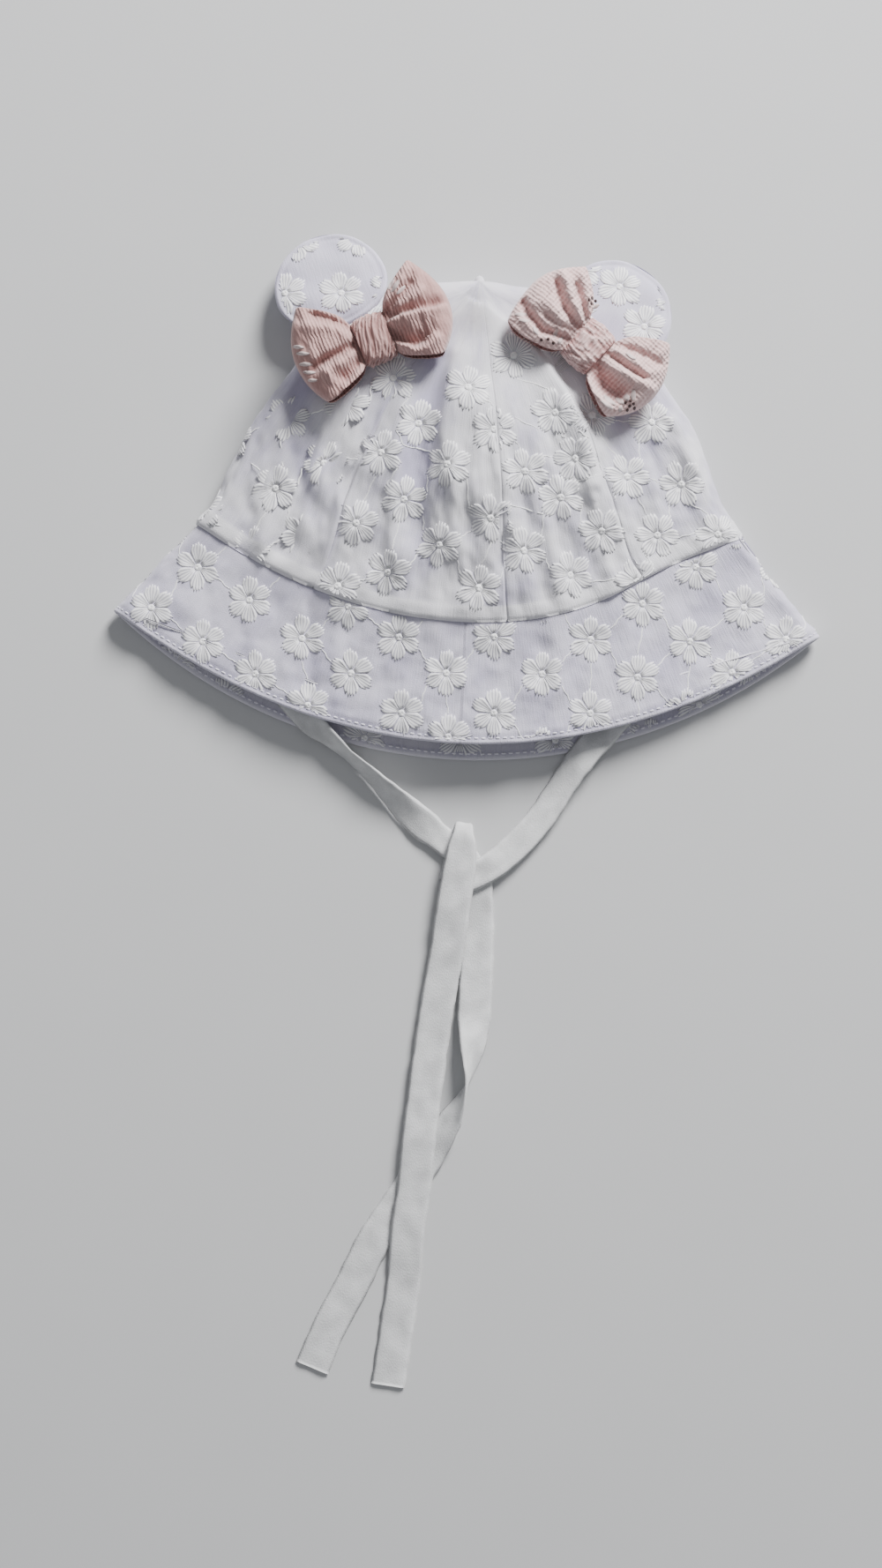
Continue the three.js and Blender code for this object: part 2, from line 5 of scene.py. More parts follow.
import bpy
import numpy as np
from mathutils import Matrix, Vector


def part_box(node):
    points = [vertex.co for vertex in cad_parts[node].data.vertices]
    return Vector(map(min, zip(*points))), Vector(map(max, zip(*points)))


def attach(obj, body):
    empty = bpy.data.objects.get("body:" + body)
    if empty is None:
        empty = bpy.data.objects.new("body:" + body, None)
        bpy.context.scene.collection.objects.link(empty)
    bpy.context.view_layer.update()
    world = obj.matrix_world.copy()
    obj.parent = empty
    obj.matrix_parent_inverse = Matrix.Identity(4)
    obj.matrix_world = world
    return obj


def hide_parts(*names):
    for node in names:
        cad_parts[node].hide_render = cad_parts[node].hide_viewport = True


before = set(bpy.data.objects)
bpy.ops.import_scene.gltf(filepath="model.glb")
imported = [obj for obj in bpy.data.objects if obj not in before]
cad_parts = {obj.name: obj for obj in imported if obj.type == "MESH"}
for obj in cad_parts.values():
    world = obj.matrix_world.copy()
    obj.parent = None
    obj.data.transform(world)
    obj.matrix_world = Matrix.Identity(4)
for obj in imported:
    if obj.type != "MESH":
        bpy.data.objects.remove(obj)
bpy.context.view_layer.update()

MM = 0.001  # lengths below are millimetres unless they say otherwise

# Sizes of the bonnet, as in its part
CROWN_HALF_WIDTH = 108.5
CROWN_SIDE_DROP = 99.0
CROWN_FRONT_DROP = 135.0
CROWN_EDGE = 8.0
CROWN_RISE = 14.0
CROWN_CLOTH = 1.2
CROWN_TOP = 85.8
BRIM_FLARE = 32.4
BRIM_SIDE_DROP = 34.4
BRIM_DEPTH = 47.2
BRIM_BACK_DROP = 6.1
BRIM_CORNER_ROOM = 1.7
BRIM_RISE = 7.0
BRIM_CLOTH = 1.0
SEAM_LAP = 4.0
EAR_RADIUS = 22.4
EAR_BASE = 17.0
EAR_PADDING = 4.4
EAR_HEM = 1.2
EAR_LEAN = 13.0
BOW_LENGTH = 64.0
BOW_WIDTH = 38.5
BOW_PUFF = 8.5
BOW_SAG = 3.6
KNOT_LENGTH = 12.6
KNOT_WIDTH = 20.0
KNOT_HEIGHT = 12.0
KNOT_CLOTH = 1.2
KNOT_WAIST = 0.09
KNOT_SQUARE = 0.72
KNOT_SLIP = 2.6  # how far the knot and the waist sit below the middle of the lobes
TIE_WIDTH = 13.5
TIE_CLOTH = 1.2
CLEARANCE = 0.3
OUTER_DEPTH = CROWN_CLOTH + CLEARANCE
FACING_DEPTH = OUTER_DEPTH + BRIM_CLOTH + CLEARANCE
BRIM_EDGE = FACING_DEPTH + BRIM_CLOTH + BRIM_CORNER_ROOM
FOLD_START = 78.0  # degrees round the hat where the front or back turns into the side fold
TIP_SHARE = 0.012
SETTLE_SHARE = 0.3
ARCH_POWER = 1.5
FOLD_FADE = 3.0
TOP_FADE = 6.0
SEAM_LENGTH = CROWN_FRONT_DROP + CROWN_RISE  # cloth from the crown's top to the seam

SECTION_COLUMNS = ("down", "width", "side", "centre", "round", "floor", "rise")
CROWN_SECTIONS = np.array([
    (0.00, 0.000, 0.000, 0.000, 0.00, 1.00, 0.00),
    (0.02, 0.030, 0.001, 0.004, 0.34, 0.66, 0.00),
    (0.05, 0.075, 0.004, 0.022, 0.78, 0.22, 0.01),
    (0.09, 0.134, 0.011, 0.061, 1.00, 0.00, 0.08),
    (0.18, 0.262, 0.036, 0.158, 1.00, 0.00, 0.38),
    (0.30, 0.422, 0.109, 0.287, 1.00, 0.00, 0.76),
    (0.44, 0.583, 0.238, 0.430, 1.00, 0.00, 1.00),
    (0.58, 0.702, 0.419, 0.572, 0.96, 0.00, 1.00),
    (0.72, 0.808, 0.609, 0.714, 0.88, 0.00, 0.88),
    (0.84, 0.875, 0.788, 0.838, 0.80, 0.00, 0.76),
    (0.93, 0.931, 0.916, 0.930, 0.73, 0.00, 0.68),
    (1.00, 1.000, 1.000, 1.000, 0.69, 0.00, 0.64),
])

# Folds of the crown's front, in shares of its half width, front drop and rise
FOLD_COLUMNS = ("start", "start_x", "end", "end_x", "bend", "rise", "reach")
CROWN_FOLDS = [dict(zip(FOLD_COLUMNS, row)) for row in [
    (0.10, 0.08, 0.98, 0.53, 0.10, 0.26, 0.06),
    (0.14, -0.05, 0.84, -0.22, -0.03, -0.20, 0.06),
    (0.20, 0.03, 0.90, 0.05, 0.00, 0.14, 0.13),
    (0.34, -0.77, 0.72, -0.57, 0.02, -0.16, 0.06),
    (0.30, 0.55, 0.80, 0.66, 0.02, -0.12, 0.09),
    (0.74, -0.42, 1.00, -0.45, 0.00, 0.10, 0.06),
    (0.78, -0.12, 1.00, -0.12, 0.00, 0.08, 0.05),
    (0.76, 0.30, 1.00, 0.32, 0.00, 0.08, 0.05),
]]
WAVE_COLUMNS = ("at", "height", "reach")
BRIM_WAVES = [dict(zip(WAVE_COLUMNS, row)) for row in [
    (-0.46, -0.13, 0.09),
    (-0.05, 0.10, 0.16),
    (0.42, -0.12, 0.10),
]]

# Panels of the crown by angle round the hat, and the slant of each one's embroidery
# with how deep the seam at its start lies
PANEL_COLUMNS = ("name", "start", "end", "slant", "seam")
CROWN_PANELS = [dict(zip(PANEL_COLUMNS, row)) for row in [
    ("crown_panel_front_left", -46, 12, -11, 0.15),
    ("crown_panel_front_right", 12, 52, 17, 0.5),
    ("crown_panel_side_right", 52, 128, 29, 0.3),
    ("crown_panel_back_right", 128, 190, 12, 0.5),
    ("crown_panel_back_left", 190, 250, -12, 0.5),
    ("crown_panel_side_left", 250, 314, -18, 0.5),
]]

PLACE_COLUMNS = ("name", "across", "down", "turn", "tilt")
EARS = [dict(zip(PLACE_COLUMNS, row)) for row in [
    ("ear_left", -0.533, 0.039, 20, 0),
    ("ear_right", 0.492, 0.09, -26, 0),
]]
BOWS = [dict(zip(PLACE_COLUMNS, row)) for row in [
    ("bow_left", -0.376, 0.187, 24, -4),
    ("bow_right", 0.409, 0.188, -40, 4),
]]

# Centre lines of the ties, direction of their width in plan, roll and share of the full width
LEFT_ROUTE = np.array([
    (-93.7, -28.8, 5.2, 24, 0, 0.9),
    (-88.2, -43.0, 4.6, 26, 0, 0.95),
    (-79.3, -61.3, 3.6, 30, 0, 1),
    (-70.2, -76.8, 4.0, 36, 8, 0.95),
    (-60.0, -89.5, 6.0, 47, 20, 0.82),
    (-52.9, -95.3, 7.1, 50, 46, 0.75),
    (-44.6, -102.2, 5.4, 46, 64, 0.75),
    (-35.6, -109.4, 5.4, 46, 58, 0.8),
    (-24.7, -119.3, 4.3, 47, 36, 0.9),
    (-15.2, -127.6, 3.0, 50, 12, 0.95),
    (-8.8, -132.4, 2.45, 53, 3, 0.84),
    (-3.4, -136.2, 2.4, 50, 0, 0.78),
    (4.1, -142.0, 2.4, 36, 0, 0.78),
    (8.2, -148.9, 2.4, 18, 0, 0.78),
    (9.2, -157.0, 1.6, 4, 0, 0.82),
    (9.3, -166.0, 0.9, 0, 0, 0.95),
    (9.3, -185.5, 0.9, 0, 0, 1),
    (9.1, -203.5, 2.0, 0, -8, 1),
    (8.9, -218.0, 4.3, -3, -36, 0.85),
    (7.2, -230.5, 4.8, -14, -84, 0.62),
    (1.8, -243.8, 3.5, -24, -148, 0.74),
    (-4.8, -256.7, 1.5, -30, -175, 0.88),
    (-13.6, -272.1, 0.9, -31, -180, 0.96),
    (-26.8, -293.6, 0.9, -29, -180, 1),
    (-34.8, -311.4, 0.9, -26, -180, 1),
    (-43.6, -329.6, 0.9, -24, -180, 1),
    (-49.6, -345.5, 0.9, -20, -180, 1),
])
RIGHT_ROUTE = np.array([
    (93.8, -25.1, 5.2, -28, 0, 0.9),
    (86.0, -41.5, 4.6, -29, 0, 0.95),
    (76.0, -58.8, 3.6, -31, 0, 1),
    (67.0, -73.5, 3.5, -34, 0, 1),
    (57.8, -86.4, 4.0, -37, 2, 0.95),
    (48.0, -99.3, 4.7, -35, 12, 0.86),
    (40.4, -111.2, 2.6, -33, 18, 0.84),
    (33.2, -123.3, 2.2, -35, 14, 0.84),
    (24.8, -133.8, 2.6, -42, 6, 0.86),
    (14.3, -143.6, 3.9, -52, 0, 0.84),
    (5.5, -148.8, 3.95, -58, 0, 0.8),
    (-1.2, -151.9, 3.8, -42, 0, 0.76),
    (-2.7, -152.6, 2.4, -35, 0, 0.74),
    (-2.0, -151.0, 1.05, -27, 0, 0.76),
    (-0.6, -145.6, 0.9, -10, 0, 0.8),
    (1.0, -138.5, 0.9, -5, 0, 0.76),
    (1.9, -131.0, 1.0, -4, 0, 0.6),
    (2.2, -127.6, 3.2, -4, 0, 0.5),
    (2.1, -130.8, 5.3, -4, 0, 0.62),
    (1.8, -137.0, 5.5, -4, 0, 0.86),
    (1.1, -145.0, 5.5, -5, 0, 0.96),
    (-0.5, -157.7, 5.3, -7, 0, 1),
    (-2.6, -177.0, 3.6, -7, 0, 1),
    (-6.1, -203.4, 2.7, -7, 0, 1),
    (-9.6, -238.5, 3.2, -5, 0, 1),
    (-11.1, -256.0, 3.6, -4, 0, 1),
    (-11.9, -271.8, 3.2, -6, 0, 1),
    (-13.7, -286.9, 2.9, -6, 0, 1),
    (-14.2, -297.5, 2.5, -5, 0, 1),
    (-14.7, -308.9, 1.4, -5, 0, 1),
    (-17.0, -330.3, 0.9, -7, 0, 1),
    (-19.3, -351.4, 0.9, -8, 0, 1),
])


# ---- camera ----

CAMERA_HEIGHT = 900.0
CAMERA_TURN = math.radians(2.2)
VIEW_CENTRE = (-7.5, -112.3)
VIEW_HEIGHT = 622.3  # of table seen in the picture's long side
SENSOR = 36.0

camera = bpy.data.objects.new("camera", bpy.data.cameras.new("camera"))
bpy.context.scene.collection.objects.link(camera)
camera.location = (VIEW_CENTRE[0] * MM, VIEW_CENTRE[1] * MM, CAMERA_HEIGHT * MM)
camera.rotation_euler = (0, 0, CAMERA_TURN)
camera.data.sensor_width = SENSOR
camera.data.lens = SENSOR * CAMERA_HEIGHT / VIEW_HEIGHT
camera.data.clip_start = 0.01
bpy.context.scene.camera = camera


# ---- materials ----


def srgb(red, green, blue):
    """A colour as a screen names it, 0 to 255, in linear values."""
    shares = [value / 255 for value in (red, green, blue)]
    return (*[s / 12.92 if s <= 0.04045 else ((s + 0.055) / 1.055) ** 2.4 for s in shares], 1.0)


class Shade:
    """A socket of a material, which sums and products take like a number."""

    def __init__(self, tree, socket=None):
        self.tree = tree
        self.socket = socket

    def node(self, kind, settings=None, sockets=None, output=0):
        made = self.tree.nodes.new(kind)
        for name, value in (settings or {}).items():
            setattr(made, name, value)
        for name, value in (sockets or {}).items():
            if isinstance(value, Shade):
                self.tree.links.new(value.socket, made.inputs[name])
            else:
                made.inputs[name].default_value = value
        return Shade(self.tree, made.outputs[output])

    def math(self, operation, *values):
        return self.node("ShaderNodeMath", {"operation": operation}, dict(enumerate(values)))

    def __add__(self, other):
        return self.math("ADD", self, other)

    __radd__ = __add__

    def __mul__(self, other):
        return self.math("MULTIPLY", self, other)

    __rmul__ = __mul__

    def __sub__(self, other):
        return self.math("SUBTRACT", self, other)

    def __rsub__(self, other):
        return self.math("SUBTRACT", other, self)

    def between(self, low, high):
        """0 below low, 1 above high and a soft step from one to the other."""
        return self.node("ShaderNodeMapRange", {"interpolation_type": "SMOOTHSTEP"},
                         {"Value": self, "From Min": low, "From Max": high})

    def stretched(self, factors):
        """A place multiplied along each axis."""
        return self.node("ShaderNodeVectorMath", {"operation": "MULTIPLY"}, {0: self, 1: factors})

    def mixed(self, first, second):
        """From the first colour to the second, by this value."""
        return self.node("ShaderNodeMix", {"data_type": "RGBA"}, {0: self, 6: first, 7: second}, 2)

    def noise(self, size, detail=2.0, roughness=0.5):
        """Soft patches of this many millimetres, from 0 to 1, at a place in millimetres."""
        return self.node("ShaderNodeTexNoise", {},
                         {"Vector": self, "Scale": 1 / size, "Detail": detail, "Roughness": roughness})


def cloth_place(tree):
    """Millimetres across and along a piece's cloth."""
    return Shade(tree).node("ShaderNodeAttribute", {"attribute_name": "cloth"}, output=1)


def cloth_value(tree, name):
    """A value that the piece's mesh carries under this name."""
    return Shade(tree).node("ShaderNodeAttribute", {"attribute_name": name}, output=2)


def finish(name, build, roughness=0.9, sheen=0.3, specular=0.25):
    """A material whose colour and bump come from build(tree)."""
    material = bpy.data.materials.new(name)
    material.use_nodes = True
    tree = material.node_tree
    surface = tree.nodes["Principled BSDF"]
    surface.inputs["Roughness"].default_value = roughness
    surface.inputs["Sheen Weight"].default_value = sheen
    surface.inputs["Sheen Roughness"].default_value = 0.5
    surface.inputs["Specular IOR Level"].default_value = specular
    colour, height, depth = build(tree)
    tree.links.new(colour.socket, surface.inputs["Base Color"])
    bump = Shade(tree).node("ShaderNodeBump", {}, {"Strength": 1.0, "Distance": depth * MM, "Height": height})
    tree.links.new(bump.socket, surface.inputs["Normal"])
    return material


def slub_cotton(name, light, lilac_and_shade, rib_depth):
    """Fine cotton whose thicker threads run down the cloth, in random lilac patches of its own, painted darker and more
    lilac in its folds and grooves as painted shade.
    """

    def build(tree):
        place = cloth_place(tree)
        ribs = place.stretched((1.0, 0.09, 1.0)).noise(0.75, detail=2.0, roughness=0.6)
        weave = place.noise(0.42, detail=1.0)
        patches = place.noise(24.0, detail=3.0, roughness=0.55)
        # painted shade: the mesh's value for folds and grooves, on top of the cloth's own patches and ribs
        painted_shade = cloth_value(tree, "painted_shade")
        shade = (patches - 0.5) * 1.8 + painted_shade + (ribs - 0.5) * 0.45
        colour = shade.between(-0.1, 1.0).mixed(light, lilac_and_shade)
        return colour, ribs * 0.65 + weave * 0.35, rib_depth

    return finish(name, build)


# the second colour is the cloth's lilac tone and also the colour of its painted shade
crown_cotton = slub_cotton("crown_cotton", srgb(226, 225, 230), srgb(184, 180, 203), 0.3)
brim_cotton = slub_cotton("brim_cotton", srgb(216, 213, 228), srgb(182, 178, 202), 0.36)
facing_cotton = slub_cotton("facing_cotton", srgb(218, 216, 226), srgb(188, 185, 202), 0.36)
ear_cotton = slub_cotton("ear_cotton", srgb(210, 207, 223), srgb(188, 184, 207), 0.25)


def strap_cotton(tree):
    place = cloth_place(tree)
    weave = place.stretched((1.0, 0.5, 1.0)).noise(0.4, detail=1.5)
    patches = place.noise(9.0, detail=2.0)
    colour = (patches * 0.7 + weave * 0.3).between(0.3, 0.75).mixed(srgb(200, 201, 202), srgb(230, 231, 232))
    return colour, weave, 0.16


tie_cotton = finish("tie_cotton", strap_cotton)


def satin_thread(light, shaded):
    def build(tree):
        place = cloth_place(tree)
        strands = place.stretched((1.0, 0.15, 1.0)).noise(0.3, detail=1.0)
        # painted shade: darker in the grooves between the threads, as the mesh marks them
        shade = strands * 0.25 + cloth_value(tree, "painted_shade") * 0.85
        colour = shade.between(0.2, 1.1).mixed(light, shaded)
        return colour, strands, 0.08

    return build


# each thread's second colour is its painted shade
flower_thread = finish("flower_thread", satin_thread(srgb(255, 255, 255), srgb(176, 173, 188)),
                       roughness=0.5, sheen=0.4, specular=0.4)
hem_thread = finish("hem_thread", satin_thread(srgb(232, 230, 240), srgb(198, 196, 210)), roughness=0.6)


def crepe(light, shaded, rib_pitch, waffle):
    """Crinkled crepe: wandering ribs across the cloth, cut up by a waffle's rows, with painted shade darker between
    them and in the bow's pleats.
    """

    def build(tree):
        place = cloth_place(tree)
        wander = place.noise(4.0, detail=3.0, roughness=0.6)
        across = place.node("ShaderNodeSeparateXYZ", {}, {"Vector": place}, 0)
        along = place.node("ShaderNodeSeparateXYZ", {}, {"Vector": place}, 1)
        ribs = place.math("SINE", across * (math.tau / rib_pitch) + wander * 9.0) * 0.5 + 0.5
        rows = place.math("SINE", along * (math.tau / WAFFLE_ROW) + wander * 7.0) * 0.5 + 0.5
        crinkle = place.stretched((1.0, 0.35, 1.0)).noise(0.8, detail=2.0, roughness=0.65)
        plain = cloth_value(tree, "plain")
        relief = crinkle * 0.5 + (ribs * (0.6 - waffle * 0.2) + rows * waffle * 0.4) * (1.0 - plain * 0.8)
        # painted shade: deeper colour in the pleats the mesh marks and where the ribs' relief is low
        shade = cloth_value(tree, "painted_shade") + (0.5 - relief)
        return shade.between(-0.4, 0.95).mixed(light, shaded), relief, CREPE_DEPTH

    return build


WAFFLE_ROW = 1.5  # between rows of the waffle
CREPE_DEPTH = 0.5  # of its ribs
# each crepe's second colour is its painted shade
left_crepe = finish("left_crepe", crepe(srgb(202, 162, 157), srgb(145, 105, 101), 1.35, 0.15), sheen=0.4)
right_crepe = finish("right_crepe", crepe(srgb(230, 198, 195), srgb(184, 138, 135), 1.5, 0.8), sheen=0.4)
white_thread = finish("white_thread", satin_thread(srgb(223, 207, 205), srgb(188, 163, 161)), roughness=0.6)


# Painted shade: dark discs that stand for the shade inside the eyelets' holes.
def eyelet_hole_shade(tree):
    place = cloth_place(tree)
    grain = place.noise(0.4)
    return grain.mixed(srgb(84, 62, 60), srgb(60, 44, 43)), grain, 0.05


painted_eyelet_shade = finish("painted_eyelet_shade", eyelet_hole_shade)


def table_top(tree):
    place = Shade(tree).node("ShaderNodeTexCoord", {}, output=3).stretched((1 / MM, 1 / MM, 1 / MM))
    grain = place.noise(60.0, detail=3.0)
    return grain.mixed(srgb(203, 204, 205), srgb(207, 208, 209)), grain, 0.01


# ---- meshes ----


def mesh_piece(name, points, faces, material, nodes=(), facts=None, stage=False):
    """A smooth mesh from millimetre points; facts are values at its points that its material reads."""
    mesh = bpy.data.meshes.new(name)
    mesh.from_pydata((np.asarray(points, float) * MM).tolist(), [], [list(map(int, face)) for face in faces])
    mesh.materials.append(material)
    mesh.shade_smooth()
    for key, values in (facts or {}).items():
        values = np.asarray(values, np.float32)
        kind, field = ("FLOAT_VECTOR", "vector") if values.ndim == 2 else ("FLOAT", "value")
        mesh.attributes.new(key, kind, "POINT").data.foreach_set(field, values.ravel())
    made = bpy.data.objects.new(name, mesh)
    bpy.context.scene.collection.objects.link(made)
    if stage:
        return made
    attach(made, "root")
    if nodes:
        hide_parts(*nodes)
    return made


def grid_faces(rows, columns, closed=False, flipped=False, start=0):
    """Four-sided faces over a grid of points that are listed row by row."""
    i, j = np.meshgrid(np.arange(rows - 1), np.arange(columns if closed else columns - 1), indexing="ij")
    after = (j + 1) % columns
    corners = [i * columns + j, (i + 1) * columns + j, (i + 1) * columns + after, i * columns + after]
    faces = np.stack([corner.ravel() for corner in corners], axis=1) + start
    return faces[:, ::-1] if flipped else faces


def bump_at(distance, reach):
    """1 at no distance, fading smoothly to 0 beyond the reach."""
    return np.exp(-((distance / reach) ** 2))


def soft_step(value):
    """0 up to 0, 1 from 1 on, and a soft step between."""
    share = np.clip(value, 0.0, 1.0)
    return share * share * (3 - 2 * share)


def round_off(distance, reach):
    """How far a rounded edge falls, from 1 at the edge to 0 where the reach ends."""
    return 1 - np.sqrt(np.clip(1 - np.square(np.clip(1 - distance / reach, 0, 1)), 0, 1))


def signed_angle(angle):
    """An angle round the hat, from -180 to 180, with 0 at the middle of its front."""
    return (angle + 180.0) % 360.0 - 180.0


def on_front(angle):
    """Whether a place lies on the front half of the hat."""
    return np.abs(signed_angle(angle)) <= 90.0


def from_middle(angle, back):
    """Degrees from the middle of the front, or of the back."""
    return np.abs(signed_angle(angle + 180.0 if back else angle))


def run_along(line):
    """The way along a line to each of its points."""
    return np.concatenate([[0], np.cumsum(np.linalg.norm(np.diff(line, axis=0), axis=1))])


class Ripple:
    """Smooth random height over a plane, the same in every run."""

    def __init__(self, seed, wave, count=28):
        draws = np.random.default_rng(seed)
        angles = draws.uniform(0, math.tau, count)
        lengths = wave * draws.uniform(0.7, 1.6, count)
        self.kx = math.tau * np.cos(angles) / lengths
        self.ky = math.tau * np.sin(angles) / lengths
        self.phase = draws.uniform(0, math.tau, count)
        self.scale = math.sqrt(2.0 / count)

    def at(self, x, y):
        total = np.zeros(np.broadcast(x, y).shape)
        for kx, ky, phase in zip(self.kx, self.ky, self.phase):
            total += np.cos(kx * x + ky * y + phase)
        return total * self.scale


# ---- surface of the hat ----


def read_columns(rows, names, at):
    """Monotone cubic through a table's rows, for each named column."""
    x = rows[:, 0]
    at = np.clip(at, x[0], x[-1])
    i = np.clip(np.searchsorted(x, at, side="left") - 1, 0, len(x) - 2)
    span = np.diff(x)
    t = (at - x[i]) / span[i]
    read = []
    for column in range(1, len(names)):
        y = rows[:, column]
        slope = np.diff(y) / span
        before, after = slope[:-1], slope[1:]
        both = before * after
        inner = np.where(both > 0, 2 * both / np.where(both > 0, before + after, 1.0), 0.0)
        tangent = np.concatenate([slope[:1], inner, slope[-1:]])
        read.append((2 * t**3 - 3 * t**2 + 1) * y[i] + (t**3 - 2 * t**2 + t) * span[i] * tangent[i]
                    + (3 * t**2 - 2 * t**3) * y[i + 1] + (t**3 - t**2) * span[i] * tangent[i + 1])
    return read


SEAM_ROUND = CROWN_SECTIONS[-1, 4] * CROWN_EDGE
SEAM_RISE = CROWN_SECTIONS[-1, 6] * CROWN_RISE

# The sections at fine steps down the hat, which is read by straight lines between them
FINE_DOWNS = np.linspace(0.0, 1.0, 2001)
FINE_SECTIONS = np.array(read_columns(CROWN_SECTIONS, SECTION_COLUMNS, FINE_DOWNS))


def section_at(down):
    """Half width, drops, edge radius, floor and rise of the hat's closed section: 0 the top, 1 the seam, 2 the edge."""
    on_crown = np.minimum(down, 1.0)
    width, side, centre, rounding, floor, rise = [np.interp(on_crown, FINE_DOWNS, row) for row in FINE_SECTIONS]
    out = np.clip(down - 1.0, 0.0, 1.0)
    return {
        "width": width * CROWN_HALF_WIDTH + BRIM_FLARE * out,
        "side": side * CROWN_SIDE_DROP + BRIM_SIDE_DROP * out,
        "centre": centre * CROWN_FRONT_DROP + BRIM_DEPTH * out,
        "round": rounding * CROWN_EDGE + (BRIM_EDGE - SEAM_ROUND) * out,
        "floor": floor * CROWN_EDGE - OUTER_DEPTH * soft_step(out / SETTLE_SHARE),
        "rise": rise * CROWN_RISE + (BRIM_RISE - SEAM_RISE) * out,
        "back": BRIM_BACK_DROP * out,
        "wave": BRIM_RISE * out,
    }


def fold_height(share, down, wave):
    """Height that the folds and waves add to the front."""
    height = np.zeros(np.shape(share))
    for fold in CROWN_FOLDS:
        along = np.clip((down - fold["start"]) / (fold["end"] - fold["start"]), 0.0, 1.0)
        line = fold["start_x"] + (fold["end_x"] - fold["start_x"]) * along + fold["bend"] * 4 * along * (1 - along)
        turn = 0.5 if fold["end"] == 1 else 1.0
        ends = np.maximum(np.sin(along * math.pi * turn), 0.0)
        fade = np.where(down > 1, np.clip(2 - down, 0, 1), 1.0)
        height += CROWN_RISE * fold["rise"] * ends * fade * bump_at(share - line, fold["reach"])
    for row in BRIM_WAVES:
        height += wave * row["height"] * bump_at(share - row["at"], row["reach"])
    return height


# The brim seam is pulled up a little on the right of the front
PULL, PULL_AT, PULL_REACH = 6.5, 82.0, 29.0


def hat_plan(angle, down, section):
    """Where the base surface lies in plan, with what its height needs: side, front or back, and the edge's bend."""
    turned_angle = signed_angle(angle)
    sign = np.where(turned_angle < 0, -1.0, 1.0)
    front = np.abs(turned_angle) <= 90.0
    from_centre = np.where(front, np.abs(turned_angle), 180.0 - np.abs(turned_angle))
    flat = np.maximum(section["width"] - section["round"], 0.0)
    share = np.minimum(from_centre / FOLD_START, 1.0)
    bend = np.clip((from_centre - FOLD_START) / (90.0 - FOLD_START), 0.0, 1.0) * math.pi / 2
    x = flat * share + section["round"] * np.sin(bend)
    side = x / np.maximum(section["width"], 1e-6)
    smile = (section["centre"] - section["side"]) * (1.0 - side * side)
    back = np.where(front, 0.0, section["back"] * (1.0 - np.power(side, 5)))
    pulled = np.where(front, bump_at(sign * x - PULL_AT, PULL_REACH), 0.0)
    pulled = PULL * pulled * soft_step((down - 0.5) / 0.5) * soft_step(2.0 - down)
    return sign * x, CROWN_TOP - section["side"] - smile - back + pulled, (front, share, bend, sign * flat * share)


def hat_point(angle, down):
    """The hat's base surface, by angle round it in degrees and share of the way down."""
    section = section_at(down)
    x, y, (front, share, bend, flat_x) = hat_plan(angle, down, section)
    middle = section["floor"] + section["round"]
    arch = np.power(1.0 - share * share, ARCH_POWER)
    fade = np.minimum(1.0, FOLD_FADE * (1.0 - share)) * np.minimum(1.0, TOP_FADE * down)
    folds = fold_height(flat_x / CROWN_HALF_WIDTH, down, section["wave"]) * fade
    flat_z = np.where(front, middle + section["round"] + section["rise"] * arch + folds, section["floor"])
    fold_z = middle + np.where(front, 1.0, -1.0) * section["round"] * np.cos(bend)
    return np.stack([x, y, np.where(share < 1.0, flat_z, fold_z)], axis=-1)


def cloth_point(angle, down, depth):
    """The same point moved inwards, square to the cloth."""
    angle, down, depth = np.broadcast_arrays(angle, down, depth)
    low = np.maximum(down - 0.004, TIP_SHARE / 2)
    high = np.minimum(down + 0.004, 2.0)
    round_the_hat = hat_point(angle + 1.0, down) - hat_point(angle - 1.0, down)
    along = hat_point(angle, high) - hat_point(angle, low)
    inwards = np.cross(round_the_hat, along)
    inwards /= np.maximum(np.linalg.norm(inwards, axis=-1, keepdims=True), 1e-9)
    return hat_point(angle, down) + inwards * depth[..., None]


def unrolled_angle(across, section):
    """Angle round the hat at a distance across its cloth, from the front's centre round the side folds to the back."""
    flat = np.maximum(section["width"] - section["round"], 1e-6)
    turn = math.pi * np.maximum(section["round"], 1e-6)
    reach = np.abs(across)
    on_front = FOLD_START * reach / flat
    on_fold = FOLD_START + (180.0 - 2 * FOLD_START) * (reach - flat) / turn
    on_back = 180.0 - FOLD_START * (2 * flat + turn - reach) / flat
    angle = np.where(reach <= flat, on_front, np.where(reach <= flat + turn, on_fold, on_back))
    return np.where(across < 0, -angle, angle)


def place_on_hat(across, y, first, last, back=False):
    """Angle and share down where the cloth lies at a distance across its front, or its back, and a place up it.

    The third answer says which places the cloth really reaches.
    """
    low = np.full(np.shape(across), float(first))
    high = np.full(np.shape(across), float(last))
    for _ in range(PLACE_STEPS):
        down = (low + high) / 2
        section = section_at(down)
        angle = unrolled_angle(across, section)
        if back:
            angle = 180.0 - angle
        above = hat_plan(angle, down, section)[1] > y
        low = np.where(above, down, low)
        high = np.where(above, high, down)
    return angle, down, np.abs(hat_plan(angle, down, section)[1] - y) < 0.5


PLACE_STEPS = 15  # halvings of the share down, to about 0.01 mm


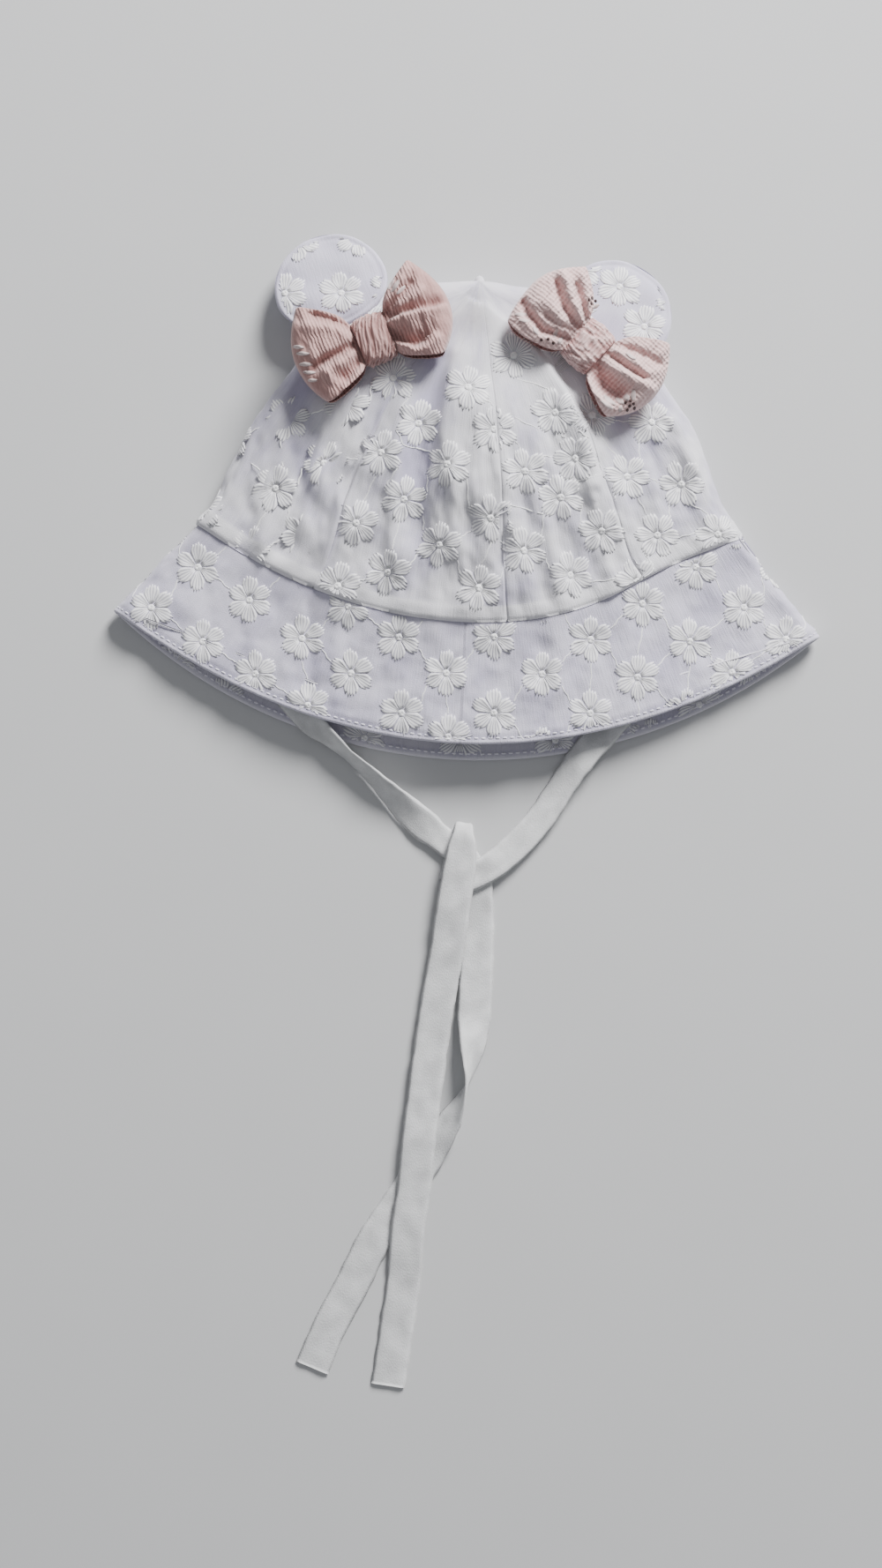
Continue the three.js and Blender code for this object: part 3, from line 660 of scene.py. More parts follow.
# Creases of the front, as lines in plan: height, and how far each reaches to its left and right
CREASE_COLUMNS = ("name", "height", "left", "right", "line")
CREASES = [dict(zip(CREASE_COLUMNS, row)) for row in [
    ("right ridge", 2.2, 8.0, 2.2,
     [(2.1, 72.8), (15.0, 63.1), (24.9, 52.9), (34.6, 40.3), (41.2, 28.7), (45.0, 17.3), (47.1, 5.8)]),
    ("right ridge's foot", 0.8, 4.0, 3.0, [(47.1, 5.8), (50.0, -11.0), (57.0, -38.0)]),
    ("beside the right ridge", -0.9, 1.5, 4.0, [(29.0, 55.0), (39.5, 40.0), (46.5, 27.5), (50.5, 12.0)]),
    ("left valley", -1.8, 6.0, 4.0, [(-14.3, 52.0), (-19.0, 35.9), (-22.0, 17.1), (-19.7, -6.3), (-16.5, -27.3)]),
    ("middle ridge", 0.9, 3.0, 5.0, [(-7.1, 54.0), (-8.9, 47.9), (-11.7, 24.3), (-7.1, 1.0), (-7.5, -22.5)]),
    ("left crease", -1.1, 2.6, 4.0, [(-69.7, 37.4), (-72.5, 21.9), (-66.0, 3.5), (-63.2, -8.0)]),
    ("left ridge", 0.7, 4.0, 3.0, [(-58.0, 34.0), (-60.0, 16.0), (-56.0, -2.0)]),
    ("right gather", 0.6, 2.4, 3.4, [(17.7, -7.2), (15.4, -35.6)]),
    ("left gather", -0.7, 2.6, 3.6, [(-35.7, -16.4), (-36.2, -37.6)]),
    ("outer left gather", 0.7, 3.0, 3.0, [(-51.5, -2.1), (-54.6, -19.2)]),
    ("right hollow", -0.8, 4.0, 3.0, [(55.0, 32.6), (52.2, 15.5), (56.3, -3.0)]),
    ("right side ridge", 0.8, 4.0, 3.0, [(75.3, 33.4), (86.2, 16.8), (92.1, 3.4)]),
    ("right side crease", -0.7, 2.2, 3.0, [(68.0, 26.0), (76.0, 6.0), (77.0, -12.0)]),
    ("far left crease", -0.6, 2.6, 3.0, [(-90.0, 4.0), (-86.0, -10.0), (-89.0, -24.0)]),
    ("brim seam, left", -0.7, 1.6, 2.6, [(-62.5, -38.6), (-60.3, -78.6)]),
    ("brim wave, left", 0.6, 5.0, 4.0, [(-20.0, -52.0), (-16.0, -92.0)]),
    ("brim wave, right", 0.7, 4.0, 5.0, [(34.0, -54.0), (40.0, -90.0)]),
    ("brim dip, right", -0.6, 4.0, 4.0, [(84.0, -36.0), (98.0, -66.0)]),
    ("brim wave, far left", 0.6, 4.0, 4.0, [(-98.0, -30.0), (-112.0, -58.0)]),
]]
small_ripple = Ripple(12, 8.5)
tiny_ripple = Ripple(15, 4.2)
crown_ripple = Ripple(11, 21.0)
brim_ripple = Ripple(13, 16.0)

# Gathers of the crown above the brim seam: ripple, height, and how much slower it runs down the cloth than across
GATHERS = ((Ripple(14, 13.0), 0.5, 0.25), (small_ripple, 0.24, 0.4), (tiny_ripple, 0.12, 0.5))


def line_height(x, y, row):
    """Height of one crease at a place in plan, which fades to both sides of its line and beyond its ends."""
    line = np.array(row["line"])
    nearest = np.full(np.shape(x), 1e9)
    signed = np.zeros(np.shape(x))
    for (x0, y0), (x1, y1) in zip(line[:-1], line[1:]):
        dx, dy = x1 - x0, y1 - y0
        share = np.clip(((x - x0) * dx + (y - y0) * dy) / (dx * dx + dy * dy), 0.0, 1.0)
        off_x, off_y = x - x0 - share * dx, y - y0 - share * dy
        distance = np.hypot(off_x, off_y)
        closer = distance < nearest
        nearest = np.where(closer, distance, nearest)
        signed = np.where(closer, np.where(dx * off_y - dy * off_x > 0, 1.0, -1.0), signed)
    # lines run down the hat, so what lies to their left is on the right of the picture
    reach = np.where(signed > 0, row["right"], row["left"])
    return row["height"] * bump_at(nearest, reach)


def crease_height(x, y):
    """Height of all the front's creases together."""
    return sum(line_height(x, y, row) for row in CREASES)


def seam_distances(angle, down):
    """Millimetres along the cloth to the seam at the start of each panel."""
    step = np.linalg.norm(hat_point(angle + 0.5, down) - hat_point(angle - 0.5, down), axis=-1)
    return [np.abs(signed_angle(angle - panel["start"])) * step for panel in CROWN_PANELS]


UNDER_CLOTH = 0.6  # left under the back for its embroidery, which lies on the table
LYING_BELOW = 2.6  # the cloth's own height above the table up to which it counts as lying


def off_table(height, above):
    """A height of the cloth's face, where it lies on the table only as far out as leaves room for its embroidery."""
    lying = soft_step((LYING_BELOW - above) / 2.0)
    return height * (1 - lying) + lying * (0.25 * np.clip(height, -1.0, 0.0) - UNDER_CLOTH)


HEM_BAND = 7.0  # height of the doubled cloth above the brim seam
HEM_PRESS = 0.35  # how far the crown's hem is pressed towards the brim
SEAM_DEPTH = 0.6  # of the groove between two panels where a panel's own share is 1
SEAM_RIDGE = 2.6  # from a seam to the ridge of its turned-in cloth
MM_PER_DEGREE = 1.35  # round the hat at the seam, roughly


def crown_height(angle, down):
    """How far the crown's cloth stands out from the base surface: wrinkles, seams and hem."""
    base = hat_point(angle, down)
    x, y = base[..., 0], base[..., 1]
    calm = soft_step(down / 0.12)
    height = np.where(on_front(angle), crease_height(x, y), 0.0) * calm
    across, along = angle * MM_PER_DEGREE, down * SEAM_LENGTH
    height += calm * 0.3 * crown_ripple.at(x, y)
    hem = (1.0 - down) * SEAM_LENGTH
    lower = soft_step((down - 0.3) / 0.4) * (0.35 + 0.65 * soft_step((hem - 2.0) / 6.0))
    for ripple, high, slower in GATHERS:
        height += lower * high * ripple.at(across, along * slower)
    for panel, seam in zip(CROWN_PANELS, seam_distances(angle, down)):
        groove = 0.25 * bump_at(seam - SEAM_RIDGE, 1.4) - bump_at(seam, 1.1)
        height += SEAM_DEPTH * panel["seam"] * groove * soft_step((down - 0.1) / 0.4)
    height += 0.15 * soft_step((HEM_BAND + 1.0 - hem) / 2.0) - 0.12 * bump_at(hem - HEM_BAND, 0.8)
    height -= 0.9 * round_off(hem, CROWN_CLOTH) + HEM_PRESS * soft_step((4.0 - hem) / 4.0)
    return off_table(np.where(down < 1.001, height, 0.0), base[..., 2])


STITCH_INSET = 2.3  # from the brim's edge to its row of stitches
STITCH_PITCH = 2.8
INSIDE_SHARE = 0.6  # of the outer face's wrinkles that also show on the inside


def brim_height(angle, down):
    """How far the brim's cloth stands out from its layer: wrinkles, the stitched groove and the rolled edge."""
    base = hat_point(angle, down)
    x, y = base[..., 0], base[..., 1]
    free = soft_step((down - 1.0) / 0.3)
    height = np.where(on_front(angle), crease_height(x, y), 0.0) * free
    height += free * (0.25 * brim_ripple.at(x, y) + 0.14 * small_ripple.at(x, y) + 0.05 * tiny_ripple.at(x, y))
    inset = (2.0 - down) * BRIM_DEPTH
    height += -0.35 * bump_at(inset - STITCH_INSET, 0.75) + 0.15 * bump_at(inset - STITCH_INSET - 1.8, 1.2)
    return off_table(height, base[..., 2])


def brim_depth(height, rise, inside):
    """Depth of a thread that rises from the brim's outer face, or from the inside of its facing."""
    if inside:
        return FACING_DEPTH + BRIM_CLOTH - INSIDE_SHARE * height + rise
    return OUTER_DEPTH - height - rise


def edge_roll(inset):
    """How far the cloth turns in at the brim's edge."""
    return BRIM_CLOTH * round_off(inset, BRIM_CLOTH)


def fold_shade_at(angle, down, x, y):
    """Painted shade: 0 on open cloth to 1 deep in a fold, where the cotton is painted darker and more lilac; a fixed
    0.4 on the back.
    """
    folds = fold_height(x / CROWN_HALF_WIDTH, down, section_at(down)["wave"]) / CROWN_RISE
    return np.where(on_front(angle), np.clip(0.35 - 2.2 * folds - 0.18 * crease_height(x, y), 0.0, 1.0), 0.4)


CLOTH_STEP = 1.25  # between mesh lines on the crown and brim
EDGE_LENGTH = 640.0  # round the brim's edge, roughly
EDGE_PER_DEGREE = 1.75


def line_length(line):
    """Millimetres along a line of points."""
    return float(np.linalg.norm(np.diff(line, axis=0), axis=1).sum())


def crown_panel(panel):
    """The cloth of one panel, with its edges turned in."""
    rows = int(SEAM_LENGTH / CLOTH_STEP)
    columns = int((panel["end"] - panel["start"]) * MM_PER_DEGREE / CLOTH_STEP)
    down = np.linspace(TIP_SHARE, 1.0, rows)[:, None] * np.ones(columns)
    angle = panel["start"] + (panel["end"] - panel["start"]) * np.linspace(0, 1, columns)
    angle = angle * np.ones_like(down)
    depth = -crown_height(angle, down)
    angle_all, down_all = np.pad(angle, 1, mode="edge"), np.pad(down, 1, mode="edge")
    depth_all = np.pad(depth, 1, constant_values=CROWN_CLOTH)
    points = cloth_point(angle_all, down_all, depth_all).reshape(-1, 3)
    faces = grid_faces(*angle_all.shape)
    angles, downs = angle_all.ravel(), down_all.ravel()
    x, y = points[:, 0], points[:, 1]
    place = np.stack([angles * MM_PER_DEGREE, downs * SEAM_LENGTH, np.zeros(len(x))], axis=1)
    hem = (1.0 - downs) * SEAM_LENGTH
    # painted shade in the folds; the doubled hem band is whiter in its own colour
    painted_shade = fold_shade_at(angles, downs, x, y) - 0.5 * soft_step((HEM_BAND + 0.5 - hem) / 1.0)
    made = mesh_piece(panel["name"] + "_cloth", points, faces, crown_cotton,
                      [panel["name"]], {"cloth": place, "painted_shade": painted_shade})
    line_length(hat_point(angle[-1], down[-1]))


def brim_layer(name, node, material, depth, outward):
    """One layer of the brim, whose free edge rolls in to meet the other layer."""
    lap = 1.0 - SEAM_LAP / SEAM_LENGTH
    insets = np.concatenate([np.linspace(BRIM_DEPTH, 1.2, int(BRIM_DEPTH / CLOTH_STEP)), [0.8, 0.45, 0.2, 0.05, 0.0]])
    downs = np.concatenate([[lap], 2.0 - insets / BRIM_DEPTH])
    columns = int(EDGE_LENGTH / CLOTH_STEP)
    angle = np.linspace(0, 360, columns, endpoint=False) * np.ones((len(downs), 1))
    down = downs[:, None] * np.ones(columns)
    inset = (2.0 - down) * BRIM_DEPTH
    height = brim_height(angle, down)
    if outward:
        face = depth - height + edge_roll(inset)
    else:
        face = depth + BRIM_CLOTH - INSIDE_SHARE * height - edge_roll(inset)
    face[0] = depth + BRIM_CLOTH / 2
    points = cloth_point(angle, down, face)
    base = hat_point(angle, down)
    x, y = base[..., 0], base[..., 1]
    place = np.stack([angle * EDGE_PER_DEGREE, down * BRIM_DEPTH, np.zeros_like(angle)], axis=-1)
    # painted shade in the folds and in the stitched groove, and lighter towards the rolled edge
    painted_shade = fold_shade_at(angle, down, x, y) + 0.5 * bump_at(inset - STITCH_INSET, 0.8) - 0.5 * soft_step(1.5 - inset)
    made = mesh_piece(name, points.reshape(-1, 3), grid_faces(*angle.shape, closed=True, flipped=not outward),
                      material, [node], {"cloth": place.reshape(-1, 3), "painted_shade": painted_shade.ravel()})


# ---- embroidery ----

PETALS = 6
PETAL_THREADS = 5
FLOWER_RADIUS = 9.4
PETAL_START = 1.5
PETAL_HALF_WIDTH = 3.15  # at its widest
PETAL_COLUMNS = ("along", "wide", "high")  # shares of its length and half width, and millimetres
PETAL_SHAPE = np.array([
    (0.0, 0.22, 0.08), (0.25, 0.48, 0.2), (0.5, 0.78, 0.27), (0.75, 1.0, 0.28), (0.92, 0.96, 0.23), (1.0, 0.88, 0.13),
])
THREAD_RIDGE = 0.15  # how far a thread stands above the grooves beside it, halved
PETAL_SUNK = 0.12  # depth of a petal's rim in the cloth
FLOWER_MIDDLE = 1.45  # radius of the knotted middle


def petal(draws):
    """One petal along +X: grids of out, aside, height and groove, one ridge for each satin thread; the groove grid is
    painted shade between the threads.
    """
    columns = 2 * PETAL_THREADS + 1
    fan = np.linspace(-1, 1, columns)[None, :]
    ridge = (np.arange(columns) % 2)[None, :]
    along, wide, high = [PETAL_SHAPE[:, k, None] for k in range(len(PETAL_COLUMNS))]
    ragged = draws.uniform(-0.07, 0.04, columns)
    ends = FLOWER_RADIUS * (draws.uniform(0.96, 1.04) - 0.15 * fan * fan + ragged) - 1.3 * (1 - ridge)
    out = PETAL_START + (ends - PETAL_START) * along
    aside = fan * wide * PETAL_HALF_WIDTH * draws.uniform(0.9, 1.06) + draws.uniform(-0.35, 0.35) * along**2
    height = high * (1 - 0.2 * fan * fan) + THREAD_RIDGE * (ridge * 2 - 1) + draws.uniform(-0.05, 0.05, columns)
    out, aside = np.pad(out, 1, mode="edge"), np.pad(aside, 1, mode="edge")
    height = np.pad(height, 1, constant_values=-PETAL_SUNK)
    groove = np.pad((1 - ridge) * np.ones_like(along), 1, constant_values=0.2)
    return out, aside, height, groove


def flower_middle(draws):
    """The knotted middle of a flower: grids of across, up, height and groove."""
    rings = np.array([0.0, 0.35, 0.65, 0.9, 1.0])[:, None]
    turns = np.linspace(0, math.tau, 13)[None, :]
    lumps = 0.16 * np.cos(turns * 3 + draws.uniform(0, 6)) * rings * (1 - rings) * 4
    height = 0.42 * np.sqrt(np.maximum(1 - rings**2, 0)) + lumps - 0.15 * (rings > 0.95) - 0.2 * (rings < 0.1)
    radius = FLOWER_MIDDLE * rings * (1 + 0.08 * np.cos(turns * 5))
    return radius * np.cos(turns), radius * np.sin(turns), height, 0.3 + 0 * height


def turned(x, y, degrees):
    c, s = math.cos(math.radians(degrees)), math.sin(math.radians(degrees))
    return x * c - y * s, x * s + y * c


LINK_WIDTH = 0.55
LINK_SHARE = 0.7  # of neighbouring flowers that a thread links


def link_thread(start, end, draws):
    """A running thread between two petals: grids of across, up, height and groove."""
    (x0, y0), (x1, y1) = start, end
    t = np.linspace(0, 1, 7)[:, None]
    length = math.dist(start, end)
    nx, ny = (y0 - y1) / length, (x1 - x0) / length
    wave = 0.3 * np.sin(t * math.tau * 1.2 + draws.uniform(0, math.tau)) * np.sin(t * math.pi)
    x, y = x0 + (x1 - x0) * t + nx * wave, y0 + (y1 - y0) * t + ny * wave
    aside = np.array([-0.5, 0.0, 0.5]) * LINK_WIDTH
    height = np.array([-0.1, 0.26, -0.1]) * np.ones_like(t)
    return x + nx * aside, y + ny * aside, height, 0.2 + 0 * height


def embroider(name, flowers, links, on_cloth, mirrored=False):
    """Flowers and their linking threads on one patch of cloth, as one piece.

    flowers are rows of across, up and slant in the patch's own plan. on_cloth gives the points for grids of
    across, up and height on the cloth, and which of them lie on the patch.
    """
    draws = np.random.default_rng(len(flowers) * 7 + 3)
    parts = []
    for x, y, slant in flowers:
        for k in range(PETALS):
            out, aside, height, groove = petal(draws)
            a, u = turned(out, aside, 90 + slant + k * 360 / PETALS)
            parts.append((a + x, u + y, height, groove, aside, out))
        a, u, height, groove = flower_middle(draws)
        a, u = turned(a, u, slant)
        parts.append((a + x, u + y, height, groove, a, u * 4))
    for start, end in links:
        a, u, height, groove = link_thread(start, end, draws)
        parts.append((a, u, height, groove, a * 0, u * 2))
    sizes = [part[0].size for part in parts]
    starts = np.concatenate([[0], np.cumsum(sizes)])
    across, up, height, groove, aside, out = [np.concatenate([part[k].ravel() for part in parts]) for k in range(6)]
    points, inside = on_cloth(across, up, height)
    faces = []
    for part, start in zip(parts, starts):
        rows, columns = part[0].shape
        quads = grid_faces(rows, columns, flipped=mirrored)
        kept = inside[start:start + rows * columns][quads].all(axis=1)
        faces.append(quads[kept] + start)
    faces = np.concatenate(faces)
    used, renumbered = np.unique(faces, return_inverse=True)
    place = np.stack([aside, out, aside * 0], axis=-1)[used]
    # the grooves' values are painted shade between the threads
    mesh_piece(name, points[used], renumbered.reshape(-1, 4), flower_thread,
               facts={"cloth": place, "painted_shade": groove[used]})


def linked(flowers, near, far):
    """Threads between the facing petals of some neighbouring flowers."""
    draws = np.random.default_rng(len(flowers))
    links = []
    for i, (x0, y0, s0) in enumerate(flowers):
        for x1, y1, s1 in flowers[i + 1:]:
            gap = math.hypot(x1 - x0, y1 - y0)
            if not near < gap < far or draws.uniform() > LINK_SHARE:
                continue
            ends = []
            for (x, y, s), (tx, ty) in (((x0, y0, s0), (x1, y1)), ((x1, y1, s1), (x0, y0))):
                heading = math.degrees(math.atan2(ty - y, tx - x)) - s
                facing = round((heading - 90) / 60) * 60 + 90
                px, py = turned(FLOWER_RADIUS * 0.97, 0, facing + s)
                ends.append((x + px, y + py))
            if math.dist(*ends) < far - FLOWER_RADIUS * 1.1:
                links.append(ends)
    return links


# Flowers that show on the crown's front: place in plan and slant
SEEN_CROWN_FLOWERS = [
    (-2.8, 40.3, -4), (-31.9, 43.9, -11), (-49.6, 33.4, -18), (-57.6, 10.6, -18), (-76.6, 0.6, -18),
    (-65.4, -17.4, -18), (-44.1, -12.5, -14), (-35.6, 14.8, -11), (-9.5, 10.4, -6), (-26.0, -2.9, -11),
    (-11.7, -20.1, -8), (-31.4, -31.1, -11), (-86.3, -23.3, -20), (-50.6, -36.9, -14), (4.2, -35.8, -4),
    (7.6, -9.4, 6), (20.2, 9.1, 14), (21.0, -20.9, 14), (34.2, 0.1, 17), (51.0, -11.9, 24),
    (39.8, -29.3, 17), (60.4, 10.0, 29), (82.0, 8.4, 29), (73.2, -12.0, 29), (69.1, 31.8, 29),
    (30.9, 32.4, 17), (45.9, 32.9, 22), (14.1, 53.9, 10), (7.7, 24.3, 4), (-21.4, 26.6, -11),
    (-72.6, 28.0, -18), (97.1, -10.5, 29), (66.0, -30.5, 26),
]
SEEN_BRIM_FLOWERS_PX = [
    (223, 642), (170, 688), (229, 727), (282, 680), (289, 764), (342, 724), (349, 800), (395, 689), (398, 764),
    (452, 724), (455, 809), (506, 764), (508, 836), (560, 724), (560, 809), (614, 765), (670, 726), (669, 809),
    (723, 768), (729, 685), (783, 727), (790, 643), (845, 688), (831, 762), (893, 724),
]


PIXEL = 0.35  # on the table
PICTURE_MIDDLE = (500, 889)


def from_picture(px, py, height):
    """A place in plan that the camera sees at a picture's pixel, for cloth at this height."""
    scale = PIXEL * (CAMERA_HEIGHT - height) / CAMERA_HEIGHT
    across, up = (px - PICTURE_MIDDLE[0]) * scale, (PICTURE_MIDDLE[1] - py) * scale
    x, y = turned(across, up, math.degrees(CAMERA_TURN))
    return x + VIEW_CENTRE[0], y + VIEW_CENTRE[1]


LATTICE_X = 18.9  # between neighbouring columns of flowers
LATTICE_Y = 14.7
LATTICE_REACH = 14
BRIM_SLANT = 2.2  # degrees between the flowers' rows and the picture
BRIM_PHASE = (9.16, 4.24)


def lattice(slant, phase, reach_x, reach_y):
    """Places of a staggered lattice of flowers."""
    places = []
    for i in range(-LATTICE_REACH, LATTICE_REACH + 1):
        for j in range(-LATTICE_REACH, LATTICE_REACH + 1):
            if (i + j) % 2:
                continue
            x, y = turned(i * LATTICE_X, j * LATTICE_Y, slant)
            x, y = x + phase[0], y + phase[1]
            if abs(x) < reach_x and abs(y) < reach_y:
                places.append((x, y))
    return places


def apart_from(places, others, gap):
    """The places that lie further than the gap from all the others."""
    return [p for p in places if all(math.hypot(p[0] - o[0], p[1] - o[1]) > gap for o in others)]


FLOWERS_FROM = 0.16  # share down the crown above which no flower shows


def crown_patch(back):
    """How embroidery lies on the crown's front or back."""

    def on_cloth(across, up, rise):
        angle, down, reached = place_on_hat(across, up, TIP_SHARE, 1.0, back)
        seam = np.minimum.reduce(seam_distances(angle, down))
        points = cloth_point(angle, down, -(crown_height(angle, down) + rise))
        return points, reached & (down > FLOWERS_FROM) & (down < 0.994) & (seam > CLEARANCE)

    return on_cloth


def brim_patch(back, inside=False):
    """The same for the brim's outer face, or for the inside of its facing."""

    def on_cloth(across, up, rise):
        angle, down, reached = place_on_hat(across, up, 1.0, 2.0, back)
        height = brim_height(angle, down)
        kept = reached & (from_middle(angle, back) < 90) & (down > 1.004) & (down < 1.975)
        return cloth_point(angle, down, brim_depth(height, rise, inside)), kept

    return on_cloth


# ---- build: ties ----


def catmull_rom(route, stations):
    """Centripetal curve through the route's points: places and directions at stations from 0 to the last point."""
    ends = np.vstack([2 * route[0] - route[1], route, 2 * route[-1] - route[-2]])
    k = np.minimum(stations.astype(int), len(route) - 2)
    w = (stations - k)[:, None]
    p0, p1, p2, p3 = ends[k], ends[k + 1], ends[k + 2], ends[k + 3]
    d0, d1, d2 = [np.sqrt(np.linalg.norm(b - a, axis=1, keepdims=True)) for a, b in ((p0, p1), (p1, p2), (p2, p3))]
    t1 = ((p1 - p0) / d0 - (p2 - p0) / (d0 + d1) + (p2 - p1) / d1) * d1
    t2 = ((p2 - p1) / d1 - (p3 - p1) / (d1 + d2) + (p3 - p2) / d2) * d1
    c2 = -3 * p1 + 3 * p2 - 2 * t1 - t2
    c3 = 2 * p1 - 2 * p2 + t1 + t2
    place = p1 + t1 * w + c2 * w**2 + c3 * w**3
    heading = t1 + 2 * c2 * w + 3 * c3 * w**2
    return place, heading / np.linalg.norm(heading, axis=1, keepdims=True)


def turn_about(vectors, axes, degrees):
    """Each vector turned about its axis."""
    c, s = np.cos(np.radians(degrees))[:, None], np.sin(np.radians(degrees))[:, None]
    dot = np.sum(vectors * axes, axis=1, keepdims=True)
    return vectors * c + np.cross(axes, vectors) * s + axes * dot * (1 - c)


TIE_CRUMPLE = 0.12
TIE_STEP = 1.4  # between mesh lines along a tie


def tie(name, node, route, seed):
    """A double strap of cotton along its route, with soft edges and slight crumples."""
    lengths = np.linalg.norm(np.diff(route[:, :3], axis=0), axis=1)
    stations = np.concatenate([k + np.arange(n) / n for k, n in enumerate(np.ceil(lengths / TIE_STEP).astype(int))])
    stations = np.append(stations, len(route) - 1.0)
    centre, heading = catmull_rom(route[:, :3], stations)
    turn, roll, spread = [np.interp(stations, np.arange(len(route)), route[:, k]) for k in (3, 4, 5)]
    across = np.stack([np.cos(np.radians(turn)), np.sin(np.radians(turn)), np.zeros_like(turn)], axis=1)
    across -= heading * np.sum(across * heading, axis=1, keepdims=True)
    across /= np.linalg.norm(across, axis=1, keepdims=True)
    across = turn_about(across, heading, roll)
    upward = np.cross(heading, across)
    upward /= np.linalg.norm(upward, axis=1, keepdims=True)
    run = run_along(centre)
    crumple = Ripple(seed, 13.0)
    q = np.linspace(-1, 1, 11)
    half = TIE_WIDTH * spread / 2
    thick = TIE_CLOTH / 2 * np.sqrt(np.clip(1 - np.abs(q) ** 6, 0, 1)) * (1 - 0.18 * (1 - q * q))
    wave = crumple.at(run[:, None], q[None, :] * TIE_WIDTH * 0.8) * TIE_CRUMPLE * (1 - q * q)
    edge = TIE_CRUMPLE * crumple.at(run[:, None] * 1.7, q[None, :] * 0 + 40.0) * np.sign(q) * (np.abs(q) > 0.99)
    rings = []
    for side in (1, -1):
        ring = (centre[:, None, :] + across[:, None, :] * (q * half[:, None] + edge)[..., None]
                + upward[:, None, :] * (side * thick + wave)[..., None])
        rings.append(ring if side > 0 else ring[:, ::-1][:, 1:-1])
    grid = np.concatenate(rings, axis=1)
    columns = grid.shape[1]
    faces = grid_faces(len(grid), columns, closed=True)
    ends = []
    for row in (0, len(grid) - 1):
        start = row * columns
        for k in range(len(q) - 2):
            a, b = start + k, start + k + 1
            c = start + (columns - k - 1) % columns
            d = start + (columns - k) % columns
            ends.append((a, b, c, d) if k else (a, b, c, c))
    caps = [face if len(set(face)) == 4 else face[:3] for face in ends]
    span = np.concatenate([q, q[::-1][1:-1]]) * TIE_WIDTH / 2
    place = np.stack([np.broadcast_to(span, grid.shape[:2]), np.broadcast_to(run[:, None], grid.shape[:2]),
                      np.zeros(grid.shape[:2])], axis=-1)
    made = mesh_piece(name, grid.reshape(-1, 3), [*faces, *caps], tie_cotton, [node],
                      {"cloth": place.reshape(-1, 3)})
    centre[0] * MM
    (centre * MM).tolist()


tie("tie_left_strap", "tie_left", LEFT_ROUTE, 21)
tie("tie_right_strap", "tie_right", RIGHT_ROUTE, 22)


# ---- build: crown and brim ----

for panel in CROWN_PANELS:
    crown_panel(panel)
brim_layer("brim_outer_cloth", "brim_outer", brim_cotton, OUTER_DEPTH, True)
brim_layer("brim_facing_cloth", "brim_facing", facing_cotton, FACING_DEPTH, False)


def crown_tip():
    """The small stump of turned-in cloth that closes the crown where the panels meet at the top."""
    middle = hat_point(np.linspace(0, 360, 25)[:-1], np.full(24, TIP_SHARE)).mean(axis=0)
    turns = np.linspace(0, math.tau, 25)[:-1][None, :]
    rise = np.linspace(0, 1, 12)[:, None]
    wide = np.sqrt(1 - rise**2.4) * (1 + 0.12 * np.cos(3 * turns + 1) * (1 - rise))
    x = middle[0] + TIP_HALF_WIDTH * wide * np.cos(turns)
    z = middle[2] + TIP_HALF_WIDTH * wide * np.sin(turns)
    y = middle[1] - TIP_HELD + (TIP_HELD + TIP_STUMP) * rise + 0 * turns
    points = np.stack([x, y, z], axis=-1).reshape(-1, 3)
    place = np.stack([turns * TIP_HALF_WIDTH + 0 * rise, y, 0 * y], axis=-1).reshape(-1, 3)
    mesh_piece("crown_tip", points, grid_faces(12, 24, closed=True), crown_cotton,
               facts={"cloth": place, "painted_shade": np.full(len(points), 0.1)})


TIP_HALF_WIDTH = 2.3
TIP_HELD = 2.5  # inside the crown
TIP_STUMP = 2.6  # seen outside it
crown_tip()


# ---- build: embroidery ----

NEAR, FAR = 16.0, 29.0  # distances between neighbouring flowers that a thread links
CROWN_GAP, BRIM_GAP = 15.5, 13.0  # least distance from a flower that shows to one that is added


def on_side(places, back, low_angle, high_angle):
    """The places whose cloth lies on the crown between two angles from the middle of its front or back."""
    across, up = np.array(places).T
    angle, down, reached = place_on_hat(across, up, TIP_SHARE, 1.0, back)
    off = from_middle(angle, back)
    kept = (off > low_angle) & (off < high_angle) & reached & (down > 0.12)
    return [place for place, keep in zip(places, kept) if keep]


def crown_flowers(seen, rows, low_angle, high_angle, back):
    """The flowers that show in the picture, and others of the same cloth where bows, ears and folds hide them."""
    flowers = list(seen)
    for slant, phase, side in rows:
        more = [p for p in on_side(lattice(slant, phase, 150, 90), back, low_angle, high_angle) if p[0] * side > 0]
        flowers += [(x, y, slant) for x, y in apart_from(more, flowers, CROWN_GAP)]
    return flowers


def brim_flowers(seen, slant, phase, reach):
    """The same for the brim."""
    return [(x, y, slant) for x, y in seen + apart_from(lattice(slant, phase, reach, 170), seen, BRIM_GAP)]


SIDE_ROWS = ((-18, (-2.3, 5.4), -1), (29, (6.3, -3.1), 1))
BACK_ROWS = ((12, (3.0, 6.0), 1), (-12, (-8.0, -2.0), -1))
BRIM_HEIGHT = 12.0  # of the brim's front above the table, roughly
seen = [from_picture(px, py, BRIM_HEIGHT) for px, py in SEEN_BRIM_FLOWERS_PX]
EMBROIDERY = [
    ("crown_front_flowers", crown_flowers(SEEN_CROWN_FLOWERS, SIDE_ROWS, 25, 97, False), "crown_cotton",
     crown_patch(False), False),
    ("crown_back_flowers", crown_flowers([], BACK_ROWS, 0, 82, True), "crown_cotton", crown_patch(True), True),
    ("brim_front_flowers", brim_flowers(seen, BRIM_SLANT, BRIM_PHASE, 150), "brim_cotton", brim_patch(False), False),
    ("brim_back_flowers", brim_flowers([], -3.0, (4.0, 2.0), 138), "brim_cotton", brim_patch(True), True),
    ("facing_back_flowers", brim_flowers([], 1.5, (-3.0, -6.0), 138), "facing_cotton", brim_patch(True, True), False),
]
